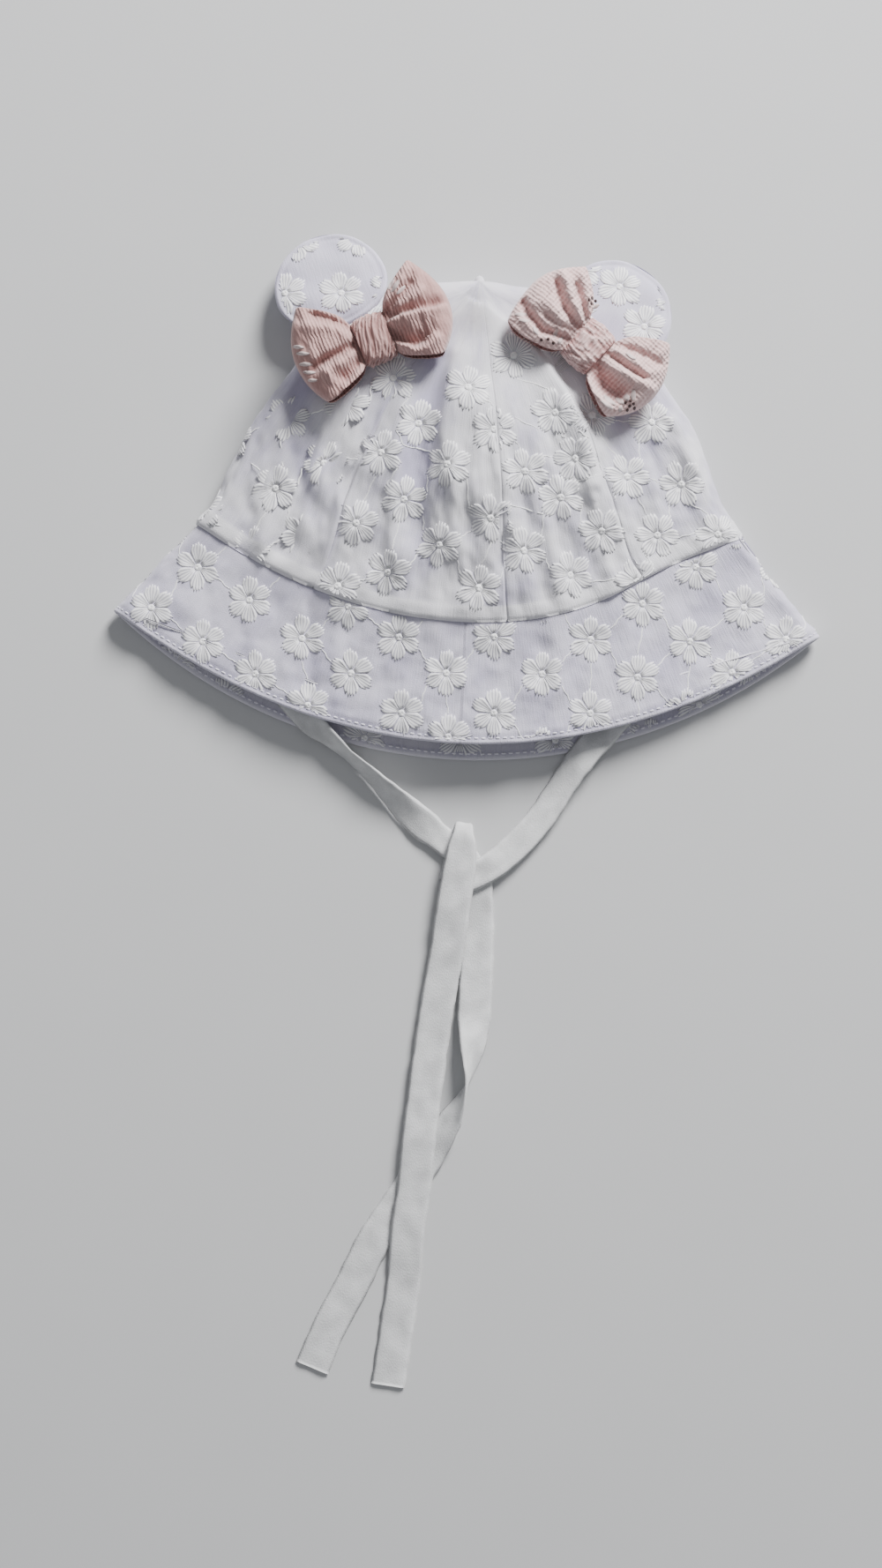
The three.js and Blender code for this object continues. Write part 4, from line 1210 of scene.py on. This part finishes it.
for name, flowers, slot, on_cloth, mirrored in EMBROIDERY:
    embroider(name, flowers, linked(flowers, NEAR, FAR), on_cloth, mirrored)


# ---- build: topstitching ----

STITCH_LENGTH = 2.0
STITCH_WIDTH = 0.85
STITCH_RISE = 0.55
STITCH_SUNK = 0.14


def topstitch(name, inside):
    """A row of stitches round the brim, just in from its edge."""
    down = 2.0 - STITCH_INSET / BRIM_DEPTH
    angles = np.linspace(0, 360, 1441)
    line = hat_point(angles, np.full_like(angles, down))
    run = run_along(line)
    count = int(run[-1] / STITCH_PITCH)
    along = np.linspace(-1, 1, 7)[:, None]
    aside = np.linspace(-1, 1, 5)[None, :]
    middles = np.arange(count)[:, None, None] * run[-1] / count
    angle = np.interp(middles + along * STITCH_LENGTH / 2 + 0 * aside, run, angles, period=run[-1])
    taper = np.sqrt(np.clip(1 - along**4, 0, 1))
    downs = down + aside * taper * STITCH_WIDTH / 2 / BRIM_DEPTH + 0 * angle
    rise = STITCH_RISE * taper * np.sqrt(1 - aside**2) - STITCH_SUNK + 0 * angle
    height = brim_height(angle, downs)
    points = cloth_point(angle, downs, brim_depth(height, rise, inside)).reshape(-1, 3)
    faces = np.concatenate([grid_faces(7, 5, flipped=not inside, start=k * 35) for k in range(count)])
    place = np.stack([aside + 0 * angle, middles + along + 0 * angle, 0 * angle], axis=-1).reshape(-1, 3)
    mesh_piece(name, points, faces, hem_thread,
               facts={"cloth": place, "painted_shade": np.full(len(points), 0.2)})


topstitch("brim_topstitch", False)
topstitch("facing_topstitch", True)


# ---- build: ears ----


def placement(row, z):
    """The turn and place of an ear or bow in the frame."""
    turn, tilt = math.radians(row["turn"]), math.radians(row["tilt"])
    lean = -math.radians(EAR_LEAN) if row["name"].startswith("ear") else 0.0
    about_z = np.array([(math.cos(turn), -math.sin(turn), 0), (math.sin(turn), math.cos(turn), 0), (0, 0, 1)])
    about_x = np.array([(1, 0, 0), (0, math.cos(lean), -math.sin(lean)), (0, math.sin(lean), math.cos(lean))])
    about_y = np.array([(math.cos(tilt), 0, math.sin(tilt)), (0, 1, 0), (-math.sin(tilt), 0, math.cos(tilt))])
    place = np.array([row["across"] * CROWN_HALF_WIDTH, CROWN_TOP - row["down"] * CROWN_FRONT_DROP, z])
    return lambda points: points @ (about_z @ about_x @ about_y).T + place


def middle_height(node):
    """Height above the table of the middle of a node's solid."""
    low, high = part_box(node)
    return (low.z + high.z) / 2 / MM


EAR_CRUMPLE = 0.22


def ear_face(x, y, side):
    """A padded face of an ear: its height at a place in the ear's own plan."""
    reach = np.minimum(x * x + (y / np.where(y < 0, EAR_BASE / EAR_RADIUS, 1.0)) ** 2, EAR_RADIUS**2) / EAR_RADIUS**2
    puff = (EAR_HEM + (EAR_PADDING - EAR_HEM) * np.sqrt(1 - reach)) / 2
    rim = EAR_RADIUS * (1 - np.sqrt(reach))
    rim_seam = -0.35 * bump_at(rim - 2.4, 0.8)
    rounding = -EAR_HEM / 2 * round_off(rim, EAR_HEM / 2)
    return side * (puff + rim_seam + rounding)


def ear(row, flowers):
    """A padded ear with its embroidered face."""
    spans = 60
    u, v = np.meshgrid(np.linspace(-1, 1, spans + 1), np.linspace(-1, 1, spans + 1), indexing="ij")
    x = u * np.sqrt(1 - v * v / 2) * EAR_RADIUS
    y = v * np.sqrt(1 - u * u / 2)
    y = y * np.where(y < 0, EAR_BASE, EAR_RADIUS)
    to_frame = placement(row, middle_height(row["name"]))
    crumple = Ripple(31 if row["turn"] > 0 else 32, 15.0)
    wave = EAR_CRUMPLE * crumple.at(x, y)
    faces, points = [], []
    for side in (1, -1):
        z = ear_face(x, y, side) + (wave if side > 0 else 0)
        points.append(to_frame(np.stack([x, y, z], axis=-1).reshape(-1, 3)))
        faces.append(grid_faces(spans + 1, spans + 1, flipped=side < 0, start=(side < 0) * (spans + 1) ** 2))
    place = np.tile(np.stack([x, y, x * 0], axis=-1).reshape(-1, 3), (2, 1))
    painted_shade = np.full(len(place), 0.35)
    made = mesh_piece(row["name"] + "_pad", np.concatenate(points), np.concatenate(faces), ear_cotton,
                      [row["name"]], {"cloth": place, "painted_shade": painted_shade})

    def on_ear(across, up, rise):
        z = ear_face(across, up, 1) + EAR_CRUMPLE * crumple.at(across, up) + rise
        squash = np.where(up < 0, EAR_BASE / EAR_RADIUS, 1.0)
        return to_frame(np.stack([across, up, z], axis=-1)), np.hypot(across, up / squash) < EAR_RADIUS - 1.6

    embroider(row["name"] + "_flowers", flowers, [], on_ear)


LEFT_EAR_FLOWERS = [(2.9, -4.3, -10), (-18.2, 2.9, -14), (15.4, 16.4, -10), (-7.1, 22.6, -10), (22.6, -9.0, -10)]
RIGHT_EAR_FLOWERS = [(-3.5, 10.2, 20), (12.4, 0.4, 20), (-20.5, 8.6, 20), (-14.0, -8.6, 20), (18.6, 17.4, 20)]
ear(EARS[0], LEFT_EAR_FLOWERS)
ear(EARS[1], RIGHT_EAR_FLOWERS)


# ---- build: bows ----

BOW_COLUMNS = ("out", "spread", "swell")
BOW_SECTIONS = np.array([
    (0.0, 0.0, 0.26),
    (0.2, 0.0, 0.3),
    (0.27, 0.26, 0.62),
    (0.36, 0.46, 0.86),
    (0.55, 0.72, 1.0),
    (0.75, 0.92, 0.96),
    (0.9, 1.0, 0.72),
    (0.97, 1.0, 0.42),
    (1.0, 1.0, 0.0),
])
WAIST = KNOT_WIDTH / 2 - KNOT_CLOTH - 2 * CLEARANCE
OPEN_EDGE = 0.3  # how much flatter a lobe is along its open sides

# Each lobe's corners: how much shorter and narrower the cloth is there
CORNER_COLUMNS = ("bow", "lobe", "side", "shorter", "narrower")
CORNERS = [dict(zip(CORNER_COLUMNS, row)) for row in [
    ("bow_left", -1, 1, 0.24, 0.0), ("bow_left", -1, -1, 0.2, 0.05),
    ("bow_left", 1, 1, 0.26, -0.05), ("bow_left", 1, -1, 0.27, 0.1),
    ("bow_right", -1, 1, 0.32, 0.08), ("bow_right", -1, -1, 0.08, 0.14),
    ("bow_right", 1, 1, 0.26, 0.06), ("bow_right", 1, -1, 0.27, 0.09),
]]
PLAIN_FROM = {"bow_left": 22.5, "bow_right": 29.5}  # the smoother hem begins this far out

# Pleats of each bow as lines in its own plan, from the knot outwards
PLEATS = {
    "bow_left": [dict(zip(CREASE_COLUMNS, row)) for row in [
        ("upper crease, left lobe", -1.9, 1.1, 2.2, [(-7.7, 4.9), (-11.6, 9.0), (-17.5, 14.2)]),
        ("band ridge, left lobe", 1.2, 2.2, 2.6, [(-7.9, 1.7), (-12.0, 6.1), (-20.8, 9.6), (-26.6, 13.4)]),
        ("valley, left lobe", -3.2, 1.2, 2.6, [(-6.6, -1.2), (-13.3, -2.8), (-19.4, -3.3), (-25.0, -4.2)]),
        ("lower ridge, left lobe", 1.2, 2.2, 2.6, [(-6.5, -4.0), (-14.1, -7.4), (-21.6, -8.4)]),
        ("bowl, left lobe", -3.2, 2.6, 2.4, [(-6.9, -6.2), (-10.4, -9.3), (-15.6, -12.4)]),
        ("lip, left lobe", 1.8, 1.5, 1.5, [(-7.6, -10.9), (-11.6, -14.0), (-18.0, -18.0)]),
        ("hem, left lobe", 0.5, 1.2, 2.0, [(-19.6, 14.8), (-23.0, 4.0), (-23.5, -4.5), (-21.0, -12.7)]),
        ("crease, right lobe", 1.3, 2.8, 1.2, [(6.7, -0.2), (13.5, 0.2), (21.7, -1.1), (30.6, -2.4)]),
        ("valley, right lobe", -2.4, 1.0, 2.8, [(7.1, 2.4), (11.4, 2.2), (19.4, 0.9), (27.0, -0.4)]),
        ("fan ridge, right lobe", 1.4, 1.8, 1.8, [(7.2, 6.4), (14.3, 9.6), (20.7, 16.5)]),
        ("fan valley, right lobe", -1.8, 1.6, 1.6, [(8.0, 4.9), (15.5, 7.9), (20.6, 10.9)]),
        ("fan fold, right lobe", 1.0, 1.4, 2.2, [(14.0, 4.4), (19.5, 4.6), (24.3, 6.6)]),
        ("bowl, right lobe", -3.2, 1.3, 3.6, [(7.6, -5.6), (10.6, -8.2), (13.8, -11.0), (17.4, -10.6)]),
        ("lip, right lobe", 1.7, 1.7, 1.7, [(6.6, -8.2), (10.4, -11.0), (13.8, -14.4), (18.0, -14.8), (23.0, -12.6)]),
    ]],
    "bow_right": [dict(zip(CREASE_COLUMNS, row)) for row in [
        ("ridge, left lobe", 1.7, 2.0, 2.0, [(-7.6, 2.0), (-13.3, 3.6), (-19.8, 6.8), (-26.9, 10.4)]),
        ("middle valley, left lobe", -2.6, 1.6, 1.6, [(-7.6, -0.2), (-11.1, -0.3), (-17.7, 1.1), (-25.1, 6.0)]),
        ("upper valley, left lobe", -1.9, 1.2, 1.5, [(-7.8, 4.0), (-12.2, 6.4), (-18.7, 10.3)]),
        ("upper ridge, left lobe", 1.2, 1.6, 1.6, [(-8.0, 6.2), (-12.8, 10.4), (-19.2, 14.4)]),
        ("belly, left lobe", 1.3, 3.6, 3.6, [(-14.0, -3.4), (-25.0, -3.0)]),
        ("ruffle, left lobe", -1.4, 1.0, 1.4, [(-8.2, -3.0), (-15.4, -5.9), (-19.9, -6.1)]),
        ("flap valley, left lobe", -2.9, 1.2, 2.4, [(-8.4, -6.4), (-17.3, -10.8), (-25.4, -9.5), (-30.0, -7.4)]),
        ("flap, left lobe", 1.0, 1.8, 1.8, [(-9.6, -9.6), (-16.0, -13.4), (-26.0, -13.4)]),
        ("ridge, right lobe", 1.9, 2.4, 2.0, [(5.6, -3.3), (11.4, -3.9), (19.1, -2.3), (26.0, 0.2), (30.8, 1.2)]),
        ("valley, right lobe", -2.2, 1.0, 1.3, [(6.0, -0.4), (14.9, 0.3), (23.6, 1.8)]),
        ("middle ridge, right lobe", 1.2, 1.6, 1.8, [(6.0, 1.9), (14.6, 3.1), (24.2, 4.6)]),
        ("upper valley, right lobe", -1.8, 1.3, 1.6, [(7.4, 4.5), (15.8, 7.7), (24.5, 10.1)]),
        ("bowl, right lobe", -5.0, 4.2, 4.0, [(6.2, -6.4), (11.0, -8.6), (16.0, -9.0), (20.0, -8.8)]),
        ("lip, right lobe", 2.2, 1.8, 1.8, [(5.6, -8.2), (8.4, -12.4), (13.2, -15.2), (19.9, -15.9)]),
        ("hem, right lobe", 0.9, 1.4, 1.4, [(26.4, 7.0), (27.8, 0.0), (27.0, -8.0)]),
    ]],
}


def corner(name, lobe, q, kind):
    """How much shorter or narrower a bow's cloth is towards the corner that a place belongs to."""
    most = sum(np.where((lobe == row["lobe"]) & (np.sign(q) == row["side"]), row[kind], 0.0)
               for row in CORNERS if row["bow"] == name)
    return most * q * q


def bow_surface(name, out, lobe, q, upper):
    """A point of a bow's cloth in its own frame, and its painted shade: darker the deeper it lies in a pleat, with a
    fixed half share on the lower cloth.

    out runs from the middle to a lobe's end, lobe is -1 or 1, and q runs across from the lower side at -1.
    """
    spread, swell = read_columns(BOW_SECTIONS, BOW_COLUMNS, out)
    half = WAIST + (BOW_WIDTH / 2 - WAIST) * spread
    x = lobe * out * BOW_LENGTH / 2 * (1 - corner(name, lobe, q, "shorter") * out * out)
    y = q * half * (1 - corner(name, lobe, q, "narrower") * out**4) - KNOT_SLIP * (1 - spread)
    crinkle, fine = bow_ripples[name]
    fade = soft_step((out - 0.16) / 0.14) * soft_step((1 - out) / 0.06)
    pleats = sum(line_height(x, y, row) for row in PLEATS[name])
    top = swell * BOW_PUFF * (1 - OPEN_EDGE * q * q) * 0.92 + pleats * fade
    small = fade * (0.2 * crinkle.at(x, y * 0.4 + 50 * upper) + 0.1 * fine.at(x, y * 0.4 - 50 * upper))
    z = np.where(upper, np.maximum(top, 0.9 * fade), -swell * BOW_SAG) + small
    # painted shade: more in deeper pleats, a fixed half share on the lower cloth
    return np.stack([x, y, z], axis=-1), np.where(upper, np.clip(-pleats / 6.5, -0.2, 0.6), 0.5)


bow_ripples = {row["name"]: (Ripple(41 + 4 * k, 4.5), Ripple(42 + 4 * k, 2.2)) for k, row in enumerate(BOWS)}


def hemmed(points, upper):
    """The grid with its two open sides turned in, so that the cloth's edges look rounded."""
    lower_in = points[1] - points[0]
    upper_in = points[-2] - points[-1]
    rows_before, rows_after = [], []
    for inwards, away in ((0.0, 0.35), (0.1, 0.8), (0.5, 1.1)):
        fall = np.where(upper, -away, away)[..., None] * np.array([0.0, 0.0, 1.0])
        rows_before.insert(0, points[0] + lower_in * inwards + fall)
        rows_after.append(points[-1] + upper_in * inwards + fall)
    return np.concatenate([np.array(rows_before), points, np.array(rows_after)])


def bow(row, material):
    """The bow's loop of crepe, pleated from its knot."""
    name = row["name"]
    to_frame = placement(row, middle_height(name + "_knot"))
    half = np.concatenate([np.linspace(0, 0.9, 52), 0.9 + 0.1 * np.sin(np.linspace(0.1, 1, 12) * math.pi / 2)])
    outs = np.concatenate([-half[::-1], half[1:]])
    stops = np.concatenate([outs, outs[::-1][1:-1]])
    upper = np.concatenate([np.ones(len(outs)), np.zeros(len(outs) - 2)]) > 0.5
    q = np.linspace(-1, 1, 73)[:, None] * np.ones(len(stops))
    lobe = np.where(stops < 0, -1, 1) * np.ones_like(q)
    points, pleat_shade = bow_surface(name, np.abs(stops) * np.ones_like(q), lobe, q, np.broadcast_to(upper, q.shape))
    points = hemmed(points, upper)
    rows, columns = points.shape[:2]
    side = 90.0 * ~upper * np.ones((rows, 1))
    place = np.stack([points[..., 0] + side, points[..., 1] + side, 0 * side], axis=-1)
    pleat_shade = np.concatenate([pleat_shade[:1]] * 3 + [pleat_shade] + [pleat_shade[-1:]] * 3)
    plain = soft_step((np.abs(points[..., 0]) - PLAIN_FROM[name]) / 3.0)
    made = mesh_piece(name + "_loops", to_frame(points.reshape(-1, 3)),
                      grid_faces(rows, columns, closed=True, flipped=True), material, [name],
                      {"cloth": place.reshape(-1, 3), "painted_shade": pleat_shade.ravel(), "plain": plain.ravel()})


def squared(value):
    """A sine or cosine that makes an oval squarer."""
    return np.sign(value) * np.abs(value) ** KNOT_SQUARE


def knot(row, material, seed, oblique):
    """The gathered band round the bow's middle, whose ribs run round it or, where not oblique, along the bow."""
    to_frame = placement(row, middle_height(row["name"] + "_knot"))
    turns = np.linspace(0, math.tau, 97)[:-1][None, :]
    s = np.linspace(-1, 1, 41)[:, None]
    bulge = 1 - KNOT_WAIST * s * s
    round_it = turns * KNOT_WIDTH / 2.6 * np.ones_like(s)
    x = s * KNOT_LENGTH / 2 * np.ones_like(turns)
    across, along = (x + 0.35 * round_it, round_it) if oblique else (round_it, x)
    ribs = 0.13 * Ripple(seed, 2.4).at(across, along * 0.22) + 0.15 * Ripple(seed + 1, 1.4).at(across, along * 0.3)
    reach = bulge + (ribs - 0.3) / (KNOT_HEIGHT / 2) - 0.12 * np.abs(s) ** 6
    y = squared(np.cos(turns)) * KNOT_WIDTH / 2 * (bulge + (ribs - 0.3) / (KNOT_WIDTH / 2)) - KNOT_SLIP
    z = squared(np.sin(turns)) * KNOT_HEIGHT / 2 * reach
    points = np.stack([x, y, z * np.ones_like(x)], axis=-1)
    place = np.stack([across, along, x * 0], axis=-1)
    # painted shade in the grooves between the ribs and towards the band's ends
    painted_shade = np.clip(0.25 - 1.2 * ribs + 0.5 * np.abs(s) ** 4, 0, 1) * np.ones_like(x)
    made = mesh_piece(row["name"] + "_band", to_frame(points.reshape(-1, 3)),
                      grid_faces(*x.shape, closed=True, flipped=True), material, [row["name"] + "_knot"],
                      {"cloth": place.reshape(-1, 3), "painted_shade": painted_shade.ravel()})


# White stitches worked on the bows, as lines in the bow's own plan with their half width
STITCH_COLUMNS = ("start", "end", "half_width")
BOW_STITCHES = {
    "bow_left": [dict(zip(STITCH_COLUMNS, row)) for row in [
        ((-30.2, 6.2), (-26.3, 3.6), 0.75), ((-29.8, 3.0), (-25.2, 0.4), 0.8), ((-30.4, -1.2), (-25.6, -3.6), 0.85),
        ((-30.0, -4.6), (-25.8, -6.8), 0.8), ((-29.6, -8.2), (-26.2, -9.8), 0.7), ((13.0, 10.4), (17.2, 13.2), 1.0),
        ((12.2, 12.0), (15.6, 14.6), 0.8), ((14.6, 8.8), (18.6, 10.6), 0.7),
    ]],
    "bow_right": [dict(zip(STITCH_COLUMNS, row)) for row in [
        ((17.0, -13.4), (22.6, -13.0), 1.2), ((17.6, -15.8), (23.0, -14.8), 1.1), ((21.2, -10.6), (24.8, -10.4), 1.1),
        ((22.8, -7.2), (25.2, -8.8), 1.2), ((24.2, -4.4), (26.6, -7.2), 1.1), ((26.0, -13.6), (24.6, -11.6), 0.9),
        ((-17.0, -13.6), (-20.6, -12.4), 1.0), ((-12.0, -9.8), (-13.2, -7.0), 0.9), ((-9.0, -10.4), (-9.6, -7.4), 0.9),
        ((-28.8, -13.6), (-25.4, -10.6), 1.0), ((-26.0, -14.4), (-22.6, -11.4), 1.0), ((12.6, 4.0), (16.8, 4.6), 0.9),
        ((-8.6, 8.6), (-7.6, 11.4), 0.8),
    ]],
}
BOW_EYELETS = {
    "bow_left": [],
    "bow_right": [(25.0, -9.6), (27.2, -9.5), (27.6, -11.1), (27.7, -7.9), (29.2, -8.6), (26.0, -8.0), (-14.8, -14.1),
                  (-13.1, -12.1), (-10.6, -11.7), (-11.5, 9.5), (-9.5, 11.3), (-10.0, 9.4), (-11.2, 11.0)],
}
EYELET_RADIUS = 0.62


def on_bow(name, x, y):
    """Height of a bow's upper cloth at a place in its own plan."""
    lobe = np.where(x < 0, -1, 1)
    out = np.minimum(np.abs(x) / (BOW_LENGTH / 2), 0.99)
    for _ in range(12):
        spread = read_columns(BOW_SECTIONS, BOW_COLUMNS, out)[0]
        q = np.clip((y + KNOT_SLIP * (1 - spread)) / (WAIST + (BOW_WIDTH / 2 - WAIST) * spread), -1, 1)
        out = np.minimum(np.abs(x) / (BOW_LENGTH / 2 * (1 - corner(name, lobe, q, "shorter") * out * out)), 0.99)
    return bow_surface(name, out, lobe, q, np.ones_like(q, bool))[0][..., 2]


def bow_embroidery(row):
    """Short padded stitches, and dark discs of painted shade for the eyelets' holes, pressed into the cloth."""
    name = row["name"]
    to_frame = placement(row, middle_height(name + "_knot"))
    draws = np.random.default_rng(len(BOW_STITCHES[name]))
    points, faces, places, grooves = [], [], [], []
    for stitch in BOW_STITCHES[name]:
        (x0, y0), (x1, y1) = stitch["start"], stitch["end"]
        along = np.linspace(0, 1, 9)[:, None]
        aside = np.linspace(-1, 1, 11)[None, :]
        thread = (np.arange(11) % 2)[None, :]
        half = stitch["half_width"] * (0.45 + 0.55 * np.sin(along * math.pi))
        length = math.hypot(x1 - x0, y1 - y0)
        ends = along + (thread - 0.5) * 0.12 * (2 * along - 1) + draws.uniform(-0.03, 0.03, 11) * (2 * along - 1)
        x = x0 + (x1 - x0) * ends - (y1 - y0) / length * aside * half
        y = y0 + (y1 - y0) * ends + (x1 - x0) / length * aside * half
        rise = 0.5 * np.sqrt(np.clip(1 - aside**2, 0, 1)) * np.sin((0.12 + 0.76 * along) * math.pi) + 0.1 * thread - 0.1
        points.append(np.stack([x, y, on_bow(name, x, y) + rise], axis=-1).reshape(-1, 3))
        faces.append(grid_faces(9, 11, start=(len(points) - 1) * 99))
        places.append(np.stack([aside * half, along * length + 0 * aside, 0 * aside * along], axis=-1).reshape(-1, 3))
        # painted shade in the grooves between the stitch's threads
        grooves.append(((1 - thread) * 0.8 + 0 * along).ravel())
    mesh_piece(name + "_stitches", to_frame(np.concatenate(points)), np.concatenate(faces), white_thread,
               facts={"cloth": np.concatenate(places), "painted_shade": np.concatenate(grooves)})
    if not BOW_EYELETS[name]:
        return
    turns = np.linspace(0, math.tau, 13)[None, :]
    rings = np.array([0.0, 0.45, 0.8, 1.0])[:, None]
    points, faces = [], []
    for x, y in BOW_EYELETS[name]:
        a, u = x + EYELET_RADIUS * rings * np.cos(turns), y + EYELET_RADIUS * rings * np.sin(turns)
        height = on_bow(name, a, u) + 0.36 * np.sqrt(1 - rings**2) + 0.02
        points.append(np.stack([a, u, height], axis=-1).reshape(-1, 3))
        faces.append(grid_faces(4, 13, start=(len(points) - 1) * 52))
    mesh_piece(name + "_eyelet_shade_discs", to_frame(np.concatenate(points)), np.concatenate(faces), painted_eyelet_shade,
               facts={"cloth": np.concatenate(points), "painted_shade": np.zeros(52 * len(points))})


for row, material, slot, seed, oblique in (
    (BOWS[0], left_crepe, "left_crepe", 43, True),
    (BOWS[1], right_crepe, "right_crepe", 47, False),
):
    bow(row, material)
    knot(row, material, seed, oblique)
    bow_embroidery(row)


# ---- table and light ----

FLOOR = 4000.0  # from the bonnet to the table's edges
mesh_piece("table_top", [(-FLOOR, -FLOOR, 0), (FLOOR, -FLOOR, 0), (FLOOR, FLOOR, 0), (-FLOOR, FLOOR, 0)],
           [(0, 1, 2, 3)], finish("table_top", table_top, roughness=0.8, sheen=0.0), stage=True)

world = bpy.data.worlds.new("soft_room")
bpy.context.scene.world = world
world.use_nodes = True
background = world.node_tree.nodes["Background"]
background.inputs["Color"].default_value = srgb(236, 238, 242)
background.inputs["Strength"].default_value = 0.36


def soft_light(name, place, target, size, power, colour):
    """A round lamp at a place in metres, facing the target."""
    lamp = bpy.data.objects.new(name, bpy.data.lights.new(name, "AREA"))
    bpy.context.scene.collection.objects.link(lamp)
    lamp.data.shape = "DISK"
    lamp.data.size = size
    lamp.data.energy = power
    lamp.data.color = colour
    lamp.location = place
    away = np.array(place) - np.array(target)
    lamp.rotation_euler = (math.atan2(math.hypot(away[0], away[1]), away[2]), 0,
                           math.atan2(away[1], away[0]) + math.pi / 2)


soft_light("window", (0.75, 1.52, 1.0), (0, -0.1, 0), 0.8, 103.0, (1.0, 0.99, 0.985))
